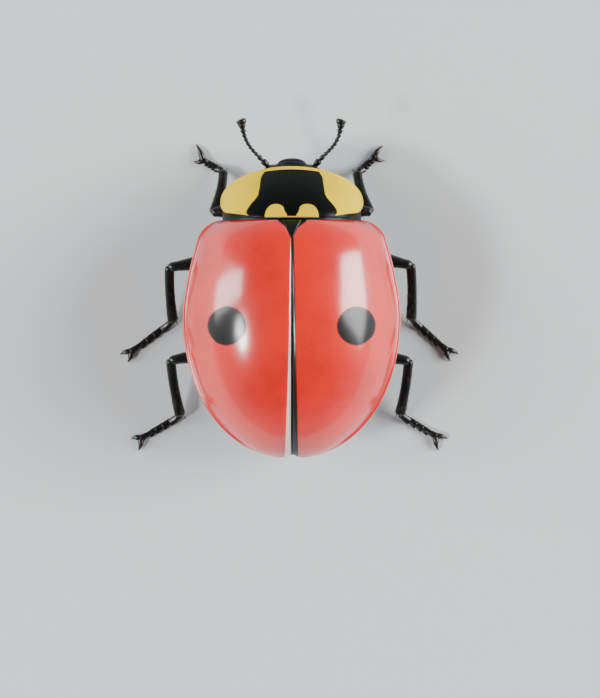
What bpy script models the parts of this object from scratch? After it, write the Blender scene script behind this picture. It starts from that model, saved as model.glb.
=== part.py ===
"""A two-spot ladybird standing on its six feet, as a still, life-size model.

The head points along -Y, the beetle's left side along +X, and the floor is Z = 0. The lengths below are in
millimetres, and MM turns them into Blender's metres as each mesh is made. The origin is on the floor, under the
middle of the beetle.

The body is one oval outline under one domed cross-section, parted by thin cuts into its wing cases, shield,
scutellum and the plates of the underside. Each leg is one smooth path, parted in the same way.
"""

import math

import bmesh
import bpy
from mathutils import Vector

MM = 0.001

# Edges sharper than this stay crisp, in degrees
SHARP_ANGLE = 40.0

# Thin cuts between neighbouring pieces
CUT = 0.04
JOINT_CUT = 0.03

# Outline of the wing cases from above: an oval, squarer at the shoulders than at the tail
HALF_WIDTH = 2.0
WIDEST_Y = 0.5
FRONT_REACH = 4.07
FRONT_POWER = 1.5
TAIL_REACH = 2.64
TAIL_POWER = 2.1

# Dome of the wing cases
RIM_Z = 0.9
CROWN_Z = 2.65
CROWN_Y = 0.2
CROWN_FRONT_REACH = 2.1
DOME_POWER = 2.15

# Wing cases
CASE_FRONT_Y = -1.235
CASE_TIP_Y = 3.118
CASE_WALL = 0.48
SHOULDER_ROUND = 0.35
SUTURE_FRONT = 0.02
SUTURE_TAIL = 0.045
TIP_ROUND = 0.11
TIP_X = 0.21
CASE_ROWS = 25
CASE_COLUMNS = 13
CASE_ROWS_EASE = 0.85

# Scutellum, the small triangle between the wing cases
SCUTELLUM_HALF_WIDTH = 0.2
SCUTELLUM_LENGTH = 0.34
SCUTELLUM_POINT = 0.02
SCUTELLUM_DEPTH = 0.4
SCUTELLUM_RINGS = 4

# Pronotum, the shield behind the head
SHIELD_HALF_WIDTH = 1.31
SHIELD_MIDDLE_Y = -1.56
SHIELD_FRONT = 0.657
SHIELD_REAR = 0.4
SHIELD_REAR_POWER = 2.5
SHIELD_REAR_Y = CASE_FRONT_Y - CUT
SHIELD_REAR_Z = 2.17
SHIELD_FRONT_Z = 1.4
SHIELD_SLOPE = 1.5
SHIELD_BASE_REAR = 1.36
SHIELD_BASE_FRONT = 0.88
SHIELD_BASE_REAR_Z = 0.9
SHIELD_BASE_FRONT_Z = 0.62
SHIELD_WALL = 0.2
SHIELD_SPOKES = 32
SHIELD_RINGS = 6

# Head, eyes and mouth
HEAD_REAR_Y = -1.85
HEAD_MIDDLE_Y = -2.05
HEAD_REAR = 0.33
HEAD_FRONT = 0.26
HEAD_POWER = 3.0
HEAD_HALF_WIDTH = 0.6
HEAD_HALF_HEIGHT = 0.32
HEAD_Z = 0.87
HEAD_SIDE_X = 0.47
HEAD_RINGS = 10
HEAD_SIDES = 16
CLYPEUS_FRONT = 0.352
CLYPEUS_POWER = 2.5
CLYPEUS_HALF_WIDTH = 0.3
CLYPEUS_HALF_HEIGHT = 0.24
EYE_Y = -1.97
EYE_Z = 0.9
EYE_HALF_LENGTH = 0.2
EYE_HALF_HEIGHT = 0.22
EYE_BULGE = 0.18
EYE_RINGS = 5
EYE_SIDES = 12
MOUTH_FRONT_Y = -2.3
MOUTH_REAR_Y = -1.98
MOUTH_HALF_WIDTH = 0.24
MOUTH_TOP_Z = 0.51
MOUTH_BOTTOM_Z = 0.28
MOUTH_RINGS = 4
MOUTH_SIDES = 12
PALP_BASE = (0.30, -2.02, 0.42)
PALP_TIP = (0.42, -2.14, 0.34)
PALP_WIDTH = 0.2
HATCHET_WIDTH = 0.32

# Underside
BELLY_Z = RIM_Z
KEEL_DEPTH = 0.28
KEEL_HALF_WIDTH = 0.62
KEEL_WIDENS_Y = 1.3
KEEL_WIDENS_OVER = 0.7
KEEL_FADES_Y = 1.8
TAIL_KEEL_HALF_WIDTH = 1.2
TRUNK_STEPS = 12
PROTHORAX_FRONT_Y = HEAD_REAR_Y + CUT
PROTHORAX_HALF_WIDTH = 1.0
PROTHORAX_FRONT_HALF_WIDTH = 0.8
PROTHORAX_RINGS = 4
MESOTHORAX_REAR_Y = -0.42
METATHORAX_REAR_Y = 0.8
METATHORAX_RINGS = 4
ABDOMEN_TIP_Y = 2.52
VENTRITES = 5
VENTRITE_FRONT = 0.12
VENTRITE_REAR = 0.95
GROOVE = 0.05

# Legs: plan positions of hip, knee, ankle, toe and the tips of the two claws
LEGS = {
    "front_left": (
        (0.74, -1.52), (1.43, -1.42), (1.26, -2.16), (1.66, -2.36), (1.77, -2.64), (1.81, -2.32),
    ),
    "front_right": (
        (-0.74, -1.52), (-1.42, -1.43), (-1.20, -2.14), (-1.53, -2.42), (-1.69, -2.61), (-1.71, -2.34),
    ),
    "middle_left": (
        (0.86, -0.62), (2.23, -0.38), (2.18, 0.65), (2.98, 1.20), (3.16, 1.24), (3.03, 1.37),
    ),
    "middle_right": (
        (-0.86, -0.68), (-2.18, -0.41), (-2.19, 0.61), (-2.87, 1.17), (-3.06, 1.23), (-2.93, 1.35),
    ),
    "hind_left": (
        (0.86, 1.10), (2.22, 1.34), (2.04, 2.38), (2.80, 2.79), (2.96, 2.79), (2.83, 3.00),
    ),
    "hind_right": (
        (-0.86, 1.10), (-2.14, 1.35), (-1.98, 2.36), (-2.68, 2.75), (-2.87, 2.79), (-2.70, 3.00),
    ),
}
HIP_Z = 0.59
KNEE_Z = 0.64
LIMB_SIDES = 12
BEND_STEPS = 2
COXA_REACH = 0.34
COXA_WIDTH = 0.46
COXA_END_WIDTHS = (0.23, 0.41)
FEMUR_WIDTH = 0.5
FEMUR_BASE_WIDTH = 0.42
TIBIA_WIDTH = 0.45
KNEE_WIDTH = 0.42
ANKLE_WIDTH = 0.42
TARSUS_WIDTH = 0.42
TOE_WIDTH = 0.34
KNEE_BEND = 0.28
ANKLE_BEND = 0.28
CLAW_WIDTH = 0.14
CLAW_TIP = 0.05
CLAW_Z = 0.12
CLAW_MIDDLE = 0.55

# Feelers: base, bends, start of the club and its tip
FEELERS = {
    "left": (
        (0.52, -2.38, 0.86), (0.70, -2.50, 0.93), (0.83, -2.65, 0.99), (0.905, -2.81, 1.02), (0.94, -3.1, 1.02),
    ),
    "right": (
        (-0.50, -2.39, 0.86), (-0.66, -2.49, 0.93), (-0.80, -2.63, 0.99), (-0.885, -2.81, 1.02), (-0.91, -3.1, 1.02),
    ),
}
FEELER_WIDTH = 0.4
FEELER_BASE_WIDTH = 0.22
CLUB_WIDTH = 0.46
CLUB_TIP_WIDTH = 0.3

# Colour, roughness and metallic value of each finish
FINISHES = {
    "red shell": ((0.80, 0.06, 0.03, 1.0), 0.18, 0.0),
    "yellow shell": ((0.90, 0.62, 0.06, 1.0), 0.22, 0.0),
    "black shell": ((0.012, 0.013, 0.012, 1.0), 0.3, 0.0),
    "black eye": ((0.008, 0.008, 0.010, 1.0), 0.15, 0.0),
}


def rise(value, power=2.0):
    """Height of a unit superellipse above its middle, at the given distance from its centre."""
    return max(0.0, 1.0 - min(1.0, abs(value)) ** power) ** (1.0 / power)


def mix(start, end, part):
    """Value the given part of the way from start to end."""
    return start + (end - start) * part


# --- Shapes shared by the pieces ------------------------------------------------------------------

def oval_half_width(y, inset=0.0):
    """Half the width of the body's oval at y, with its shoulders rounded, for an oval drawn inset within it."""
    if y > WIDEST_Y:
        return (HALF_WIDTH - inset) * rise((y - WIDEST_Y) / (TAIL_REACH - inset), TAIL_POWER)
    into_corner = max(0.0, SHOULDER_ROUND - (y - CASE_FRONT_Y)) / SHOULDER_ROUND
    corner = SHOULDER_ROUND * (1.0 - rise(into_corner))
    return HALF_WIDTH * rise((y - WIDEST_Y) / FRONT_REACH, FRONT_POWER) - corner - inset


def ridge_height(y, inset=0.0):
    """Height of the body's dome on its middle line."""
    reach = CROWN_FRONT_REACH if y < CROWN_Y else WIDEST_Y + TAIL_REACH - CROWN_Y - inset
    return RIM_Z + (CROWN_Z - inset - RIM_Z) * rise((y - CROWN_Y) / reach)


def dome_height(x, y, inset=0.0):
    """Height of the body's dome at x, y."""
    width = max(oval_half_width(y, inset), 1e-6)
    return RIM_Z + (ridge_height(y, inset) - RIM_Z) * rise(x / width, DOME_POWER)


def shield_height(x, y, inset=0.0):
    """Height of the pronotum's upper face, or of a face inset below it."""
    along = min(1.0, max(0.0, (SHIELD_REAR_Y - y) / (SHIELD_REAR_Y - SHIELD_MIDDLE_Y + SHIELD_FRONT)))
    crest = mix(SHIELD_REAR_Z, SHIELD_FRONT_Z, along ** SHIELD_SLOPE) - inset
    base = mix(SHIELD_BASE_REAR, SHIELD_BASE_FRONT, along ** 2) - inset
    base_z = mix(SHIELD_BASE_REAR_Z, SHIELD_BASE_FRONT_Z, along)
    return base_z + (crest - base_z) * rise(x / base, DOME_POWER)


def belly_height(x, y):
    """Height of the underside: a low keel between the legs, wider behind them, that runs out at the tail."""
    behind = min(1.0, max(0.0, (y - KEEL_WIDENS_Y) / KEEL_WIDENS_OVER))
    width = mix(KEEL_HALF_WIDTH, TAIL_KEEL_HALF_WIDTH, behind)
    into_tail = max(0.0, (y - KEEL_FADES_Y) / (ABDOMEN_TIP_Y + GROOVE - KEEL_FADES_Y))
    return BELLY_Z - KEEL_DEPTH * rise(x / width) * rise(into_tail)


# --- Mesh making ----------------------------------------------------------------------------------

def finish_material(name):
    """Principled material of one finish, made once."""
    material = bpy.data.materials.get(name)
    if material is None:
        colour, roughness, metallic = FINISHES[name]
        material = bpy.data.materials.new(name)
        material.use_nodes = True
        shader = material.node_tree.nodes["Principled BSDF"]
        shader.inputs["Base Color"].default_value = colour
        shader.inputs["Roughness"].default_value = roughness
        shader.inputs["Metallic"].default_value = metallic
        material.diffuse_color = colour
    return material


def add_part(name, points, faces, finish):
    """Object made of the given points, in millimetres, and faces."""
    mesh = bpy.data.meshes.new(name)
    mesh.from_pydata([tuple(coordinate * MM for coordinate in point) for point in points], [], faces)
    shell = bmesh.new()
    shell.from_mesh(mesh)
    bmesh.ops.recalc_face_normals(shell, faces=shell.faces)
    shell.to_mesh(mesh)
    shell.free()
    mesh.shade_smooth()
    mesh.set_sharp_from_angle(angle=math.radians(SHARP_ANGLE))
    mesh.materials.append(finish_material(finish))
    part = bpy.data.objects.new(name, mesh)
    bpy.context.scene.collection.objects.link(part)
    return part


def loft(rings):
    """Closed skin over rings that all have the same number of points, capped at both ends."""
    count = len(rings[0])
    points = [point for ring in rings for point in ring]
    faces = [tuple(range(count)), tuple(range(len(points) - count, len(points)))]
    for row in range(len(rings) - 1):
        for column in range(count):
            after = (column + 1) % count
            start = row * count
            faces.append((start + column, start + after, start + count + after, start + count + column))
    return points, faces


def shell(outer, inner):
    """Closed wall between two grids of the same rows and columns."""
    rows, columns = len(outer), len(outer[0])
    points = [point for grid in (outer, inner) for row in grid for point in row]
    offset = rows * columns
    faces = []
    for row in range(rows - 1):
        for column in range(columns - 1):
            corner = row * columns + column
            face = (corner, corner + 1, corner + columns + 1, corner + columns)
            faces.append(face)
            faces.append(tuple(index + offset for index in face))
    edge = list(range(columns))
    edge += [row * columns + columns - 1 for row in range(1, rows)]
    edge += [(rows - 1) * columns + column for column in range(columns - 2, -1, -1)]
    edge += [row * columns for row in range(rows - 2, 0, -1)]
    for here, after in zip(edge, edge[1:] + edge[:1]):
        faces.append((here, after, after + offset, here + offset))
    return points, faces


# --- Wing cases, scutellum and pronotum -----------------------------------------------------------

def suture_gap(y):
    """Distance of a wing case's inner edge from the middle line: scutellum, seam, then the rounded tip."""
    along = (y - CASE_FRONT_Y) / (CASE_TIP_Y - CASE_FRONT_Y)
    seam = mix(SUTURE_FRONT, SUTURE_TAIL, along)
    notch = (SCUTELLUM_HALF_WIDTH + CUT) * (1.0 - (y - CASE_FRONT_Y) / (SCUTELLUM_LENGTH + CUT))
    into_tip = min(1.0, max(0.0, (y - CASE_TIP_Y + TIP_ROUND) / TIP_ROUND))
    return max(seam, notch) + (TIP_X - seam) * (1.0 - rise(into_tip))


def case_rows():
    """Places of the wing case's rows, closer together at both ends."""
    rows = []
    for row in range(CASE_ROWS):
        part = row / (CASE_ROWS - 1)
        eased = 0.5 - 0.5 * math.cos(math.pi * part)
        rows.append(mix(CASE_FRONT_Y, CASE_TIP_Y, mix(part, eased, CASE_ROWS_EASE)))
    return rows


def build_wing_case(side, name):
    """One wing case: a domed shell with a flat lower rim and its own rounded tip."""
    outer, inner = [], []
    tip = CASE_TIP_Y - CASE_WALL
    for y in case_rows():
        y_inner = mix(CASE_FRONT_Y, tip, (y - CASE_FRONT_Y) / (CASE_TIP_Y - CASE_FRONT_Y))
        start = suture_gap(y)
        reach = max(oval_half_width(y), start + 0.01)
        inner_start = max(suture_gap(y_inner), SUTURE_TAIL)
        inner_reach = oval_half_width(y_inner, CASE_WALL)
        outer_row, inner_row = [], []
        for column in range(CASE_COLUMNS):
            turn = math.sin(0.5 * math.pi * column / (CASE_COLUMNS - 1))
            x = mix(start, reach, turn)
            x_inner = mix(min(start, inner_start), inner_reach, turn)
            outer_row.append((side * x, y, dome_height(x, y)))
            inner_row.append((side * x_inner, y_inner, dome_height(x_inner, y_inner, CASE_WALL)))
        outer.append(outer_row)
        inner.append(inner_row)
    return add_part(name, *shell(outer, inner), "red shell")


def build_scutellum():
    """Small black triangle between the bases of the wing cases."""
    rings = []
    for row in range(SCUTELLUM_RINGS):
        along = row / (SCUTELLUM_RINGS - 1)
        y = CASE_FRONT_Y + SCUTELLUM_LENGTH * along
        half = mix(SCUTELLUM_HALF_WIDTH, SCUTELLUM_POINT, along)
        ring = [(x, y, dome_height(x, y)) for x in (half * step for step in (-1.0, -0.5, 0.0, 0.5, 1.0))]
        ring += [(x, y, dome_height(0.0, y) - SCUTELLUM_DEPTH) for x in (half, -half)]
        rings.append(ring)
    return add_part("scutellum", *loft(rings), "black shell")


def shield_outline(spoke, inset=0.0):
    """Point of the pronotum's outline on the given spoke: an oval, squarer and cut straight behind."""
    angle = 2.0 * math.pi * spoke / SHIELD_SPOKES
    power, reach = (SHIELD_REAR_POWER, SHIELD_REAR) if math.sin(angle) > 0.0 else (2.0, SHIELD_FRONT - inset)
    x = math.copysign(abs(math.cos(angle)) ** (2.0 / power), math.cos(angle))
    y = math.copysign(abs(math.sin(angle)) ** (2.0 / power), math.sin(angle))
    return (SHIELD_HALF_WIDTH - inset) * x, min(SHIELD_MIDDLE_Y + reach * y, SHIELD_REAR_Y)


def shield_face(inset):
    """Rings of points from the pronotum's middle out to its edge; an inset face ends level with the rim."""
    face = []
    for ring in range(1, SHIELD_RINGS + 1):
        part = math.sin(0.5 * math.pi * ring / SHIELD_RINGS)
        row = []
        for spoke in range(SHIELD_SPOKES):
            edge_x, edge_y = shield_outline(spoke, inset)
            x = edge_x * part
            y = mix(SHIELD_MIDDLE_Y, edge_y, part)
            level = min(shield_height(*shield_outline(spoke)), shield_height(x, y) - inset)
            row.append((x, y, max(level, shield_height(x, y, inset))))
        face.append(row)
    middle = (0.0, SHIELD_MIDDLE_Y, shield_height(0.0, SHIELD_MIDDLE_Y, inset))
    return middle, face


def build_pronotum():
    """Yellow shield over the back of the head: a domed plate, rounded in front and straight behind."""
    points, faces = [], []
    edges = []
    for inset in (0.0, SHIELD_WALL):
        middle, face = shield_face(inset)
        start = len(points)
        points.append(middle)
        points.extend(point for row in face for point in row)
        for spoke in range(SHIELD_SPOKES):
            after = (spoke + 1) % SHIELD_SPOKES
            faces.append((start, start + 1 + spoke, start + 1 + after))
            for ring in range(SHIELD_RINGS - 1):
                row = start + 1 + ring * SHIELD_SPOKES
                outward = row + SHIELD_SPOKES
                faces.append((row + spoke, row + after, outward + after, outward + spoke))
        edges.append(start + 1 + (SHIELD_RINGS - 1) * SHIELD_SPOKES)
    for spoke in range(SHIELD_SPOKES):
        after = (spoke + 1) % SHIELD_SPOKES
        faces.append((edges[0] + spoke, edges[0] + after, edges[1] + after, edges[1] + spoke))
    return add_part("pronotum", points, faces, "yellow shell")


# --- Head -----------------------------------------------------------------------------------------

def head_size(y, half_size, clypeus_half_size):
    """Half the head's width or height at y: the rounded capsule, then the narrower clypeus in front of it."""
    if y > HEAD_MIDDLE_Y:
        return half_size * rise((y - HEAD_MIDDLE_Y) / HEAD_REAR)
    capsule = half_size * rise((y - HEAD_MIDDLE_Y) / HEAD_FRONT, HEAD_POWER)
    return max(capsule, clypeus_half_size * rise((y - HEAD_MIDDLE_Y) / CLYPEUS_FRONT, CLYPEUS_POWER))


def build_head():
    """Head with a squarish front, a clypeus that stands out of it and a flat seat for each eye."""
    rings = []
    for row in range(HEAD_RINGS):
        along = math.sin(0.5 * math.pi * row / (HEAD_RINGS - 0.5))
        y = mix(HEAD_REAR_Y, HEAD_MIDDLE_Y - CLYPEUS_FRONT, along)
        half_width = head_size(y, HEAD_HALF_WIDTH, CLYPEUS_HALF_WIDTH)
        half_height = head_size(y, HEAD_HALF_HEIGHT, CLYPEUS_HALF_HEIGHT)
        ring = []
        for step in range(HEAD_SIDES):
            angle = 2.0 * math.pi * (step + 0.5) / HEAD_SIDES
            x = half_width * math.cos(angle)
            ring.append((max(-HEAD_SIDE_X, min(HEAD_SIDE_X, x)), y, HEAD_Z + half_height * math.sin(angle)))
        rings.append(ring)
    return add_part("head", *loft(rings), "black shell")


def build_eye(side, name):
    """Domed eye on the side of the head."""
    rings = []
    for step in range(EYE_RINGS):
        lean = 0.5 * math.pi * step / (EYE_RINGS - 0.5)
        ring = []
        for corner in range(EYE_SIDES):
            angle = 2.0 * math.pi * (corner + 0.5) / EYE_SIDES
            y = EYE_Y + EYE_HALF_LENGTH * math.cos(lean) * math.cos(angle)
            z = EYE_Z + EYE_HALF_HEIGHT * math.cos(lean) * math.sin(angle)
            ring.append((side * (HEAD_SIDE_X + CUT + EYE_BULGE * math.sin(lean)), y, z))
        rings.append(ring)
    return add_part(name, *loft(rings), "black eye")


def build_mouthparts():
    """Lip and jaws as one short block under the front of the head, narrower below."""
    rings = []
    middle = 0.5 * (MOUTH_FRONT_Y + MOUTH_REAR_Y)
    for row in range(MOUTH_RINGS):
        lean = 0.5 * math.pi * row / (MOUTH_RINGS - 0.5)
        z = mix(MOUTH_TOP_Z, MOUTH_BOTTOM_Z, row / (MOUTH_RINGS - 1))
        ring = []
        for step in range(MOUTH_SIDES):
            angle = 2.0 * math.pi * (step + 0.5) / MOUTH_SIDES
            x = MOUTH_HALF_WIDTH * math.cos(lean) * math.cos(angle)
            y = middle + 0.5 * (MOUTH_REAR_Y - MOUTH_FRONT_Y) * math.cos(lean) * math.sin(angle)
            ring.append((x, y, z))
        rings.append(ring)
    return add_part("mouthparts", *loft(rings), "black shell")


# --- Underside ------------------------------------------------------------------------------------

def body_ring(y, top, half_width, groove=0.0):
    """Section of the trunk: the given upper face over the keeled belly."""
    upper = [half_width * math.sin(math.pi * (step / TRUNK_STEPS - 0.5)) for step in range(TRUNK_STEPS + 1)]
    ring = [(x, y, top(x, y)) for x in upper]
    lower = [half_width * (1.0 - 2.0 * (step + 0.5) / TRUNK_STEPS) for step in range(TRUNK_STEPS)]
    ring += [(x, y, belly_height(x, y) + groove) for x in lower]
    return ring


def under_shield(x, y):
    """Upper face of the prothorax, just inside the pronotum."""
    return shield_height(x, y, SHIELD_WALL + CUT)


def under_case(x, y):
    """Upper face of the trunk, just inside the wing cases."""
    return dome_height(x, y, CASE_WALL + CUT)


def build_prothorax():
    """Underside of the first body ring, which carries the front legs."""
    rings = []
    for row in range(PROTHORAX_RINGS):
        along = row / (PROTHORAX_RINGS - 1)
        half_width = mix(PROTHORAX_FRONT_HALF_WIDTH, PROTHORAX_HALF_WIDTH, rise(1.0 - along))
        rings.append(body_ring(mix(PROTHORAX_FRONT_Y, SHIELD_REAR_Y, along), under_shield, half_width))
    return add_part("prosternum", *loft(rings), "black shell")


def build_trunk_part(name, stations):
    """Piece of the trunk under the wing cases, with a section at each (y, groove) station."""
    rings = []
    for y, groove in stations:
        rings.append(body_ring(y, under_case, oval_half_width(y, CASE_WALL + CUT), groove))
    return add_part(name, *loft(rings), "black shell")


def abdomen_stations():
    """Stations of the abdomen: a flat band for each ventrite, with a shallow groove between two bands."""
    stations = []
    front = METATHORAX_REAR_Y + CUT
    length = (ABDOMEN_TIP_Y - front) / VENTRITES
    for band in range(VENTRITES):
        start = front + band * length
        stations.append((start, 0.0 if band == 0 else GROOVE))
        stations.append((start + VENTRITE_FRONT * length, 0.0))
        stations.append((start + VENTRITE_REAR * length, 0.0))
    stations.append((ABDOMEN_TIP_Y, GROOVE))
    return stations


# --- Limbs ----------------------------------------------------------------------------------------

def bend(before, corner, after, radius):
    """Stations round a bend: pairs of place and direction on an arc that touches both straight stretches."""
    inward = (corner - before).normalized()
    outward = (after - corner).normalized()
    turn = inward.angle(outward)
    axis = inward.cross(outward).normalized()
    across = axis.cross(inward)
    centre = corner - inward * radius * math.tan(0.5 * turn) + across * radius
    stations = []
    for step in range(2 * BEND_STEPS + 1):
        angle = turn * step / (2 * BEND_STEPS)
        heading = inward * math.cos(angle) + across * math.sin(angle)
        away = inward * math.sin(angle) - across * math.cos(angle)
        stations.append((centre + away * radius, heading))
    return stations


def limb_ring(place, heading, width, depth):
    """Flat-bottomed ring of points round a limb's path, never below the floor."""
    side = heading.cross(Vector((0.0, 0.0, 1.0))).normalized()
    top = side.cross(heading)
    corner = 1.0 / math.cos(math.pi / LIMB_SIDES)
    ring = []
    for step in range(LIMB_SIDES):
        angle = 2.0 * math.pi * (step + 0.5) / LIMB_SIDES
        point = place + side * (0.5 * width * corner * math.cos(angle))
        point += top * (0.5 * depth * corner * math.sin(angle))
        ring.append((point.x, point.y, point.z if point.z > 1e-4 else 0.0))
    return ring


def limb_loft(stations):
    """Skin over (place, heading, width, depth) stations."""
    return loft([limb_ring(*station) for station in stations])


def swollen(start, end, heading, widths):
    """Stations from start to end with the given widths, evenly spread."""
    last = len(widths) - 1
    return [(start.lerp(end, step / last), heading, width, width) for step, width in enumerate(widths)]


def halves(stations, width):
    """The two halves of a bend, each stopping half a cut short of its middle."""
    place, heading = stations[BEND_STEPS]
    back = 0.5 * JOINT_CUT * heading
    first = [(spot, way, width, width) for spot, way in stations[:BEND_STEPS]]
    second = [(spot, way, width, width) for spot, way in stations[BEND_STEPS + 1:]]
    return first + [(place - back, heading, width, width)], [(place + back, heading, width, width)] + second


def build_tarsus(name, stations, claws):
    """Foot with a flat sole, ending in two pointed claws."""
    points, faces = limb_loft(stations)
    faces.pop(1)
    last = len(points) - LIMB_SIDES
    half = LIMB_SIDES // 2
    heading = stations[-1][1]
    side = heading.cross(Vector((0.0, 0.0, 1.0))).normalized()
    top_index, bottom_index = LIMB_SIDES // 4, 3 * LIMB_SIDES // 4
    loops = (
        [last + (bottom_index + step) % LIMB_SIDES for step in range(half + 1)],
        [last + (top_index + step) % LIMB_SIDES for step in range(half + 1)],
    )
    for loop in loops:
        middle = sum((Vector(points[index]) for index in loop), Vector()) / len(loop)
        claw = min(claws, key=lambda tip: (tip - middle - side * (middle - stations[-1][0]).dot(side)).length)
        base = loop
        for part, width in ((CLAW_MIDDLE, CLAW_WIDTH), (1.0, CLAW_TIP)):
            place = middle.lerp(claw, part)
            ring = limb_ring(place, (claw - middle).normalized(), width, width)
            chosen = [ring[(bottom_index + step) % LIMB_SIDES] for step in range(half + 1)]
            if loop is loops[1]:
                chosen = [ring[(top_index + step) % LIMB_SIDES] for step in range(half + 1)]
            start = len(points)
            points.extend(chosen)
            count = len(base)
            for step in range(count):
                after = (step + 1) % count
                faces.append((base[step], base[after], start + after, start + step))
            base = list(range(start, start + count))
        faces.append(tuple(base))
    return add_part(name, points, faces, "black shell")


def build_leg(place, plan):
    """Coxa, femur, tibia and tarsus along one path from the hip to the toe."""
    hip = Vector((*plan[0], HIP_Z))
    knee = Vector((*plan[1], KNEE_Z))
    ankle = Vector((*plan[2], 0.5 * TARSUS_WIDTH))
    toe = Vector((*plan[3], 0.5 * TARSUS_WIDTH))
    claws = [Vector((*tip, CLAW_Z)) for tip in plan[4:]]
    thigh, shin, foot = (knee - hip).normalized(), (ankle - knee).normalized(), (toe - ankle).normalized()
    cut = 0.5 * JOINT_CUT * thigh

    widths = [COXA_END_WIDTHS[0], COXA_WIDTH, COXA_END_WIDTHS[1]]
    coxa = swollen(hip - thigh * COXA_REACH, hip - cut, thigh, widths)
    add_part(f"coxa_{place}", *limb_loft(coxa), "black shell")

    knee_in, knee_out = halves(bend(hip, knee, ankle, KNEE_BEND), KNEE_WIDTH)
    ankle_in, ankle_out = halves(bend(knee, ankle, toe, ANKLE_BEND), ANKLE_WIDTH)

    femur = swollen(hip + cut, knee_in[0][0], thigh, [FEMUR_BASE_WIDTH, FEMUR_WIDTH, KNEE_WIDTH])
    add_part(f"femur_{place}", *limb_loft(femur + knee_in[1:]), "black shell")

    tibia = swollen(knee_out[-1][0], ankle_in[0][0], shin, [KNEE_WIDTH, TIBIA_WIDTH, ANKLE_WIDTH])
    add_part(f"tibia_{place}", *limb_loft(knee_out[:-1] + tibia + ankle_in[1:]), "black shell")

    widths = [ANKLE_WIDTH, TARSUS_WIDTH, TARSUS_WIDTH, TOE_WIDTH]
    tarsus = swollen(ankle_out[-1][0], toe, foot, widths)
    build_tarsus(f"tarsus_{place}", ankle_out[:-1] + tarsus, claws)


def build_feeler(side, points):
    """Bent stem of one feeler, and its club."""
    places = [Vector(point) for point in points]
    stem, tip = places[:-1], places[-1]
    stations = []
    for index, spot in enumerate(stem):
        before, after = places[max(0, index - 1)], places[index + 1]
        width = FEELER_BASE_WIDTH if index == 0 else FEELER_WIDTH
        stations.append((spot, (after - before).normalized(), width, width))
    heading = (tip - stem[-1]).normalized()
    stations[-1] = (stem[-1] - 0.5 * JOINT_CUT * heading, heading, FEELER_WIDTH, FEELER_WIDTH)
    add_part(f"antenna_{side}", *limb_loft(stations), "black shell")
    widths = [FEELER_WIDTH, CLUB_WIDTH, CLUB_WIDTH, CLUB_TIP_WIDTH]
    club = swollen(stem[-1] + 0.5 * JOINT_CUT * heading, tip, heading, widths)
    add_part(f"antenna_club_{side}", *limb_loft(club), "black shell")


def build_palp(side, name):
    """Short palp beside the mouth, widening to a hatchet-shaped end."""
    base, tip = (Vector((side * x, y, z)) for x, y, z in (PALP_BASE, PALP_TIP))
    heading = (tip - base).normalized()
    stations = swollen(base, tip, heading, [PALP_WIDTH, PALP_WIDTH, HATCHET_WIDTH])
    return add_part(name, *limb_loft(stations), "black shell")


def build_ladybird():
    """All the pieces of the beetle."""
    build_wing_case(1.0, "elytron_left")
    build_wing_case(-1.0, "elytron_right")
    build_scutellum()
    build_pronotum()
    build_head()
    build_eye(1.0, "eye_left")
    build_eye(-1.0, "eye_right")
    build_mouthparts()
    build_palp(1.0, "palp_left")
    build_palp(-1.0, "palp_right")
    build_prothorax()
    middle = 0.5 * (CASE_FRONT_Y + MESOTHORAX_REAR_Y)
    build_trunk_part("mesosternum", [(CASE_FRONT_Y, 0.0), (middle, 0.0), (MESOTHORAX_REAR_Y, 0.0)])
    front = MESOTHORAX_REAR_Y + CUT
    rows = [mix(front, METATHORAX_REAR_Y, row / (METATHORAX_RINGS - 1)) for row in range(METATHORAX_RINGS)]
    build_trunk_part("metasternum", [(y, 0.0) for y in rows])
    build_trunk_part("abdomen", abdomen_stations())
    for place, plan in LEGS.items():
        build_leg(place, plan)
    for side, points in FEELERS.items():
        build_feeler(side, points)


for old in list(bpy.data.objects):
    bpy.data.objects.remove(old)
build_ladybird()
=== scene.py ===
"""A two-spot ladybird, life size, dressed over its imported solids.

The beetle's head points along -Y, its left side along +X, and the floor is Z = 0. Lengths are in millimetres,
and MM turns them into Blender's metres where a mesh or a light is made. The panel's lengths are kept in
metres, which Blender shows in the scene's own units.
"""

import math
from functools import cache

import bmesh
import bpy
import numpy as np
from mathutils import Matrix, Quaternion, Vector


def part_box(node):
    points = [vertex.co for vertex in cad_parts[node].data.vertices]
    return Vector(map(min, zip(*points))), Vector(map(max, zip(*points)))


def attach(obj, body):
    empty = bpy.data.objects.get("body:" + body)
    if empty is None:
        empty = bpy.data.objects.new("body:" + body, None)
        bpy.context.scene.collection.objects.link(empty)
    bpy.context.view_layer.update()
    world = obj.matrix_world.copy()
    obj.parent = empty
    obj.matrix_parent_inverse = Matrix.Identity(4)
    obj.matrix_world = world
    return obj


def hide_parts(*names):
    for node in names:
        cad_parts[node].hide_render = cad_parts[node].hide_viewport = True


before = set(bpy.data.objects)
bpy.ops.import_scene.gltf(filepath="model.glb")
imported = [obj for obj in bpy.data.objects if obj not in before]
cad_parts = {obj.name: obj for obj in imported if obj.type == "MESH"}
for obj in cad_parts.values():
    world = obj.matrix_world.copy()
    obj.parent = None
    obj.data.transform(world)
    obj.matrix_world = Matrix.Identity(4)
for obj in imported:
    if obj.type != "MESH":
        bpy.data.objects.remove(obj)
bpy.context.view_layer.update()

bl_info = {
    "name": "Two-spot ladybird",
    "version": (1, 0, 0),
    "blender": (4, 5, 0),
    "location": "3D View > Sidebar > Ladybird",
    "description": "Builds a life-size two-spot ladybird, its floor, its lights and its camera",
    "category": "Object",
}

MM = 0.001


def frame_box(node):
    """Lowest and highest corner of a solid of the frame, in millimetres."""
    low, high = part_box(node)
    return low / MM, high / MM


# --- Sizes ---

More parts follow.
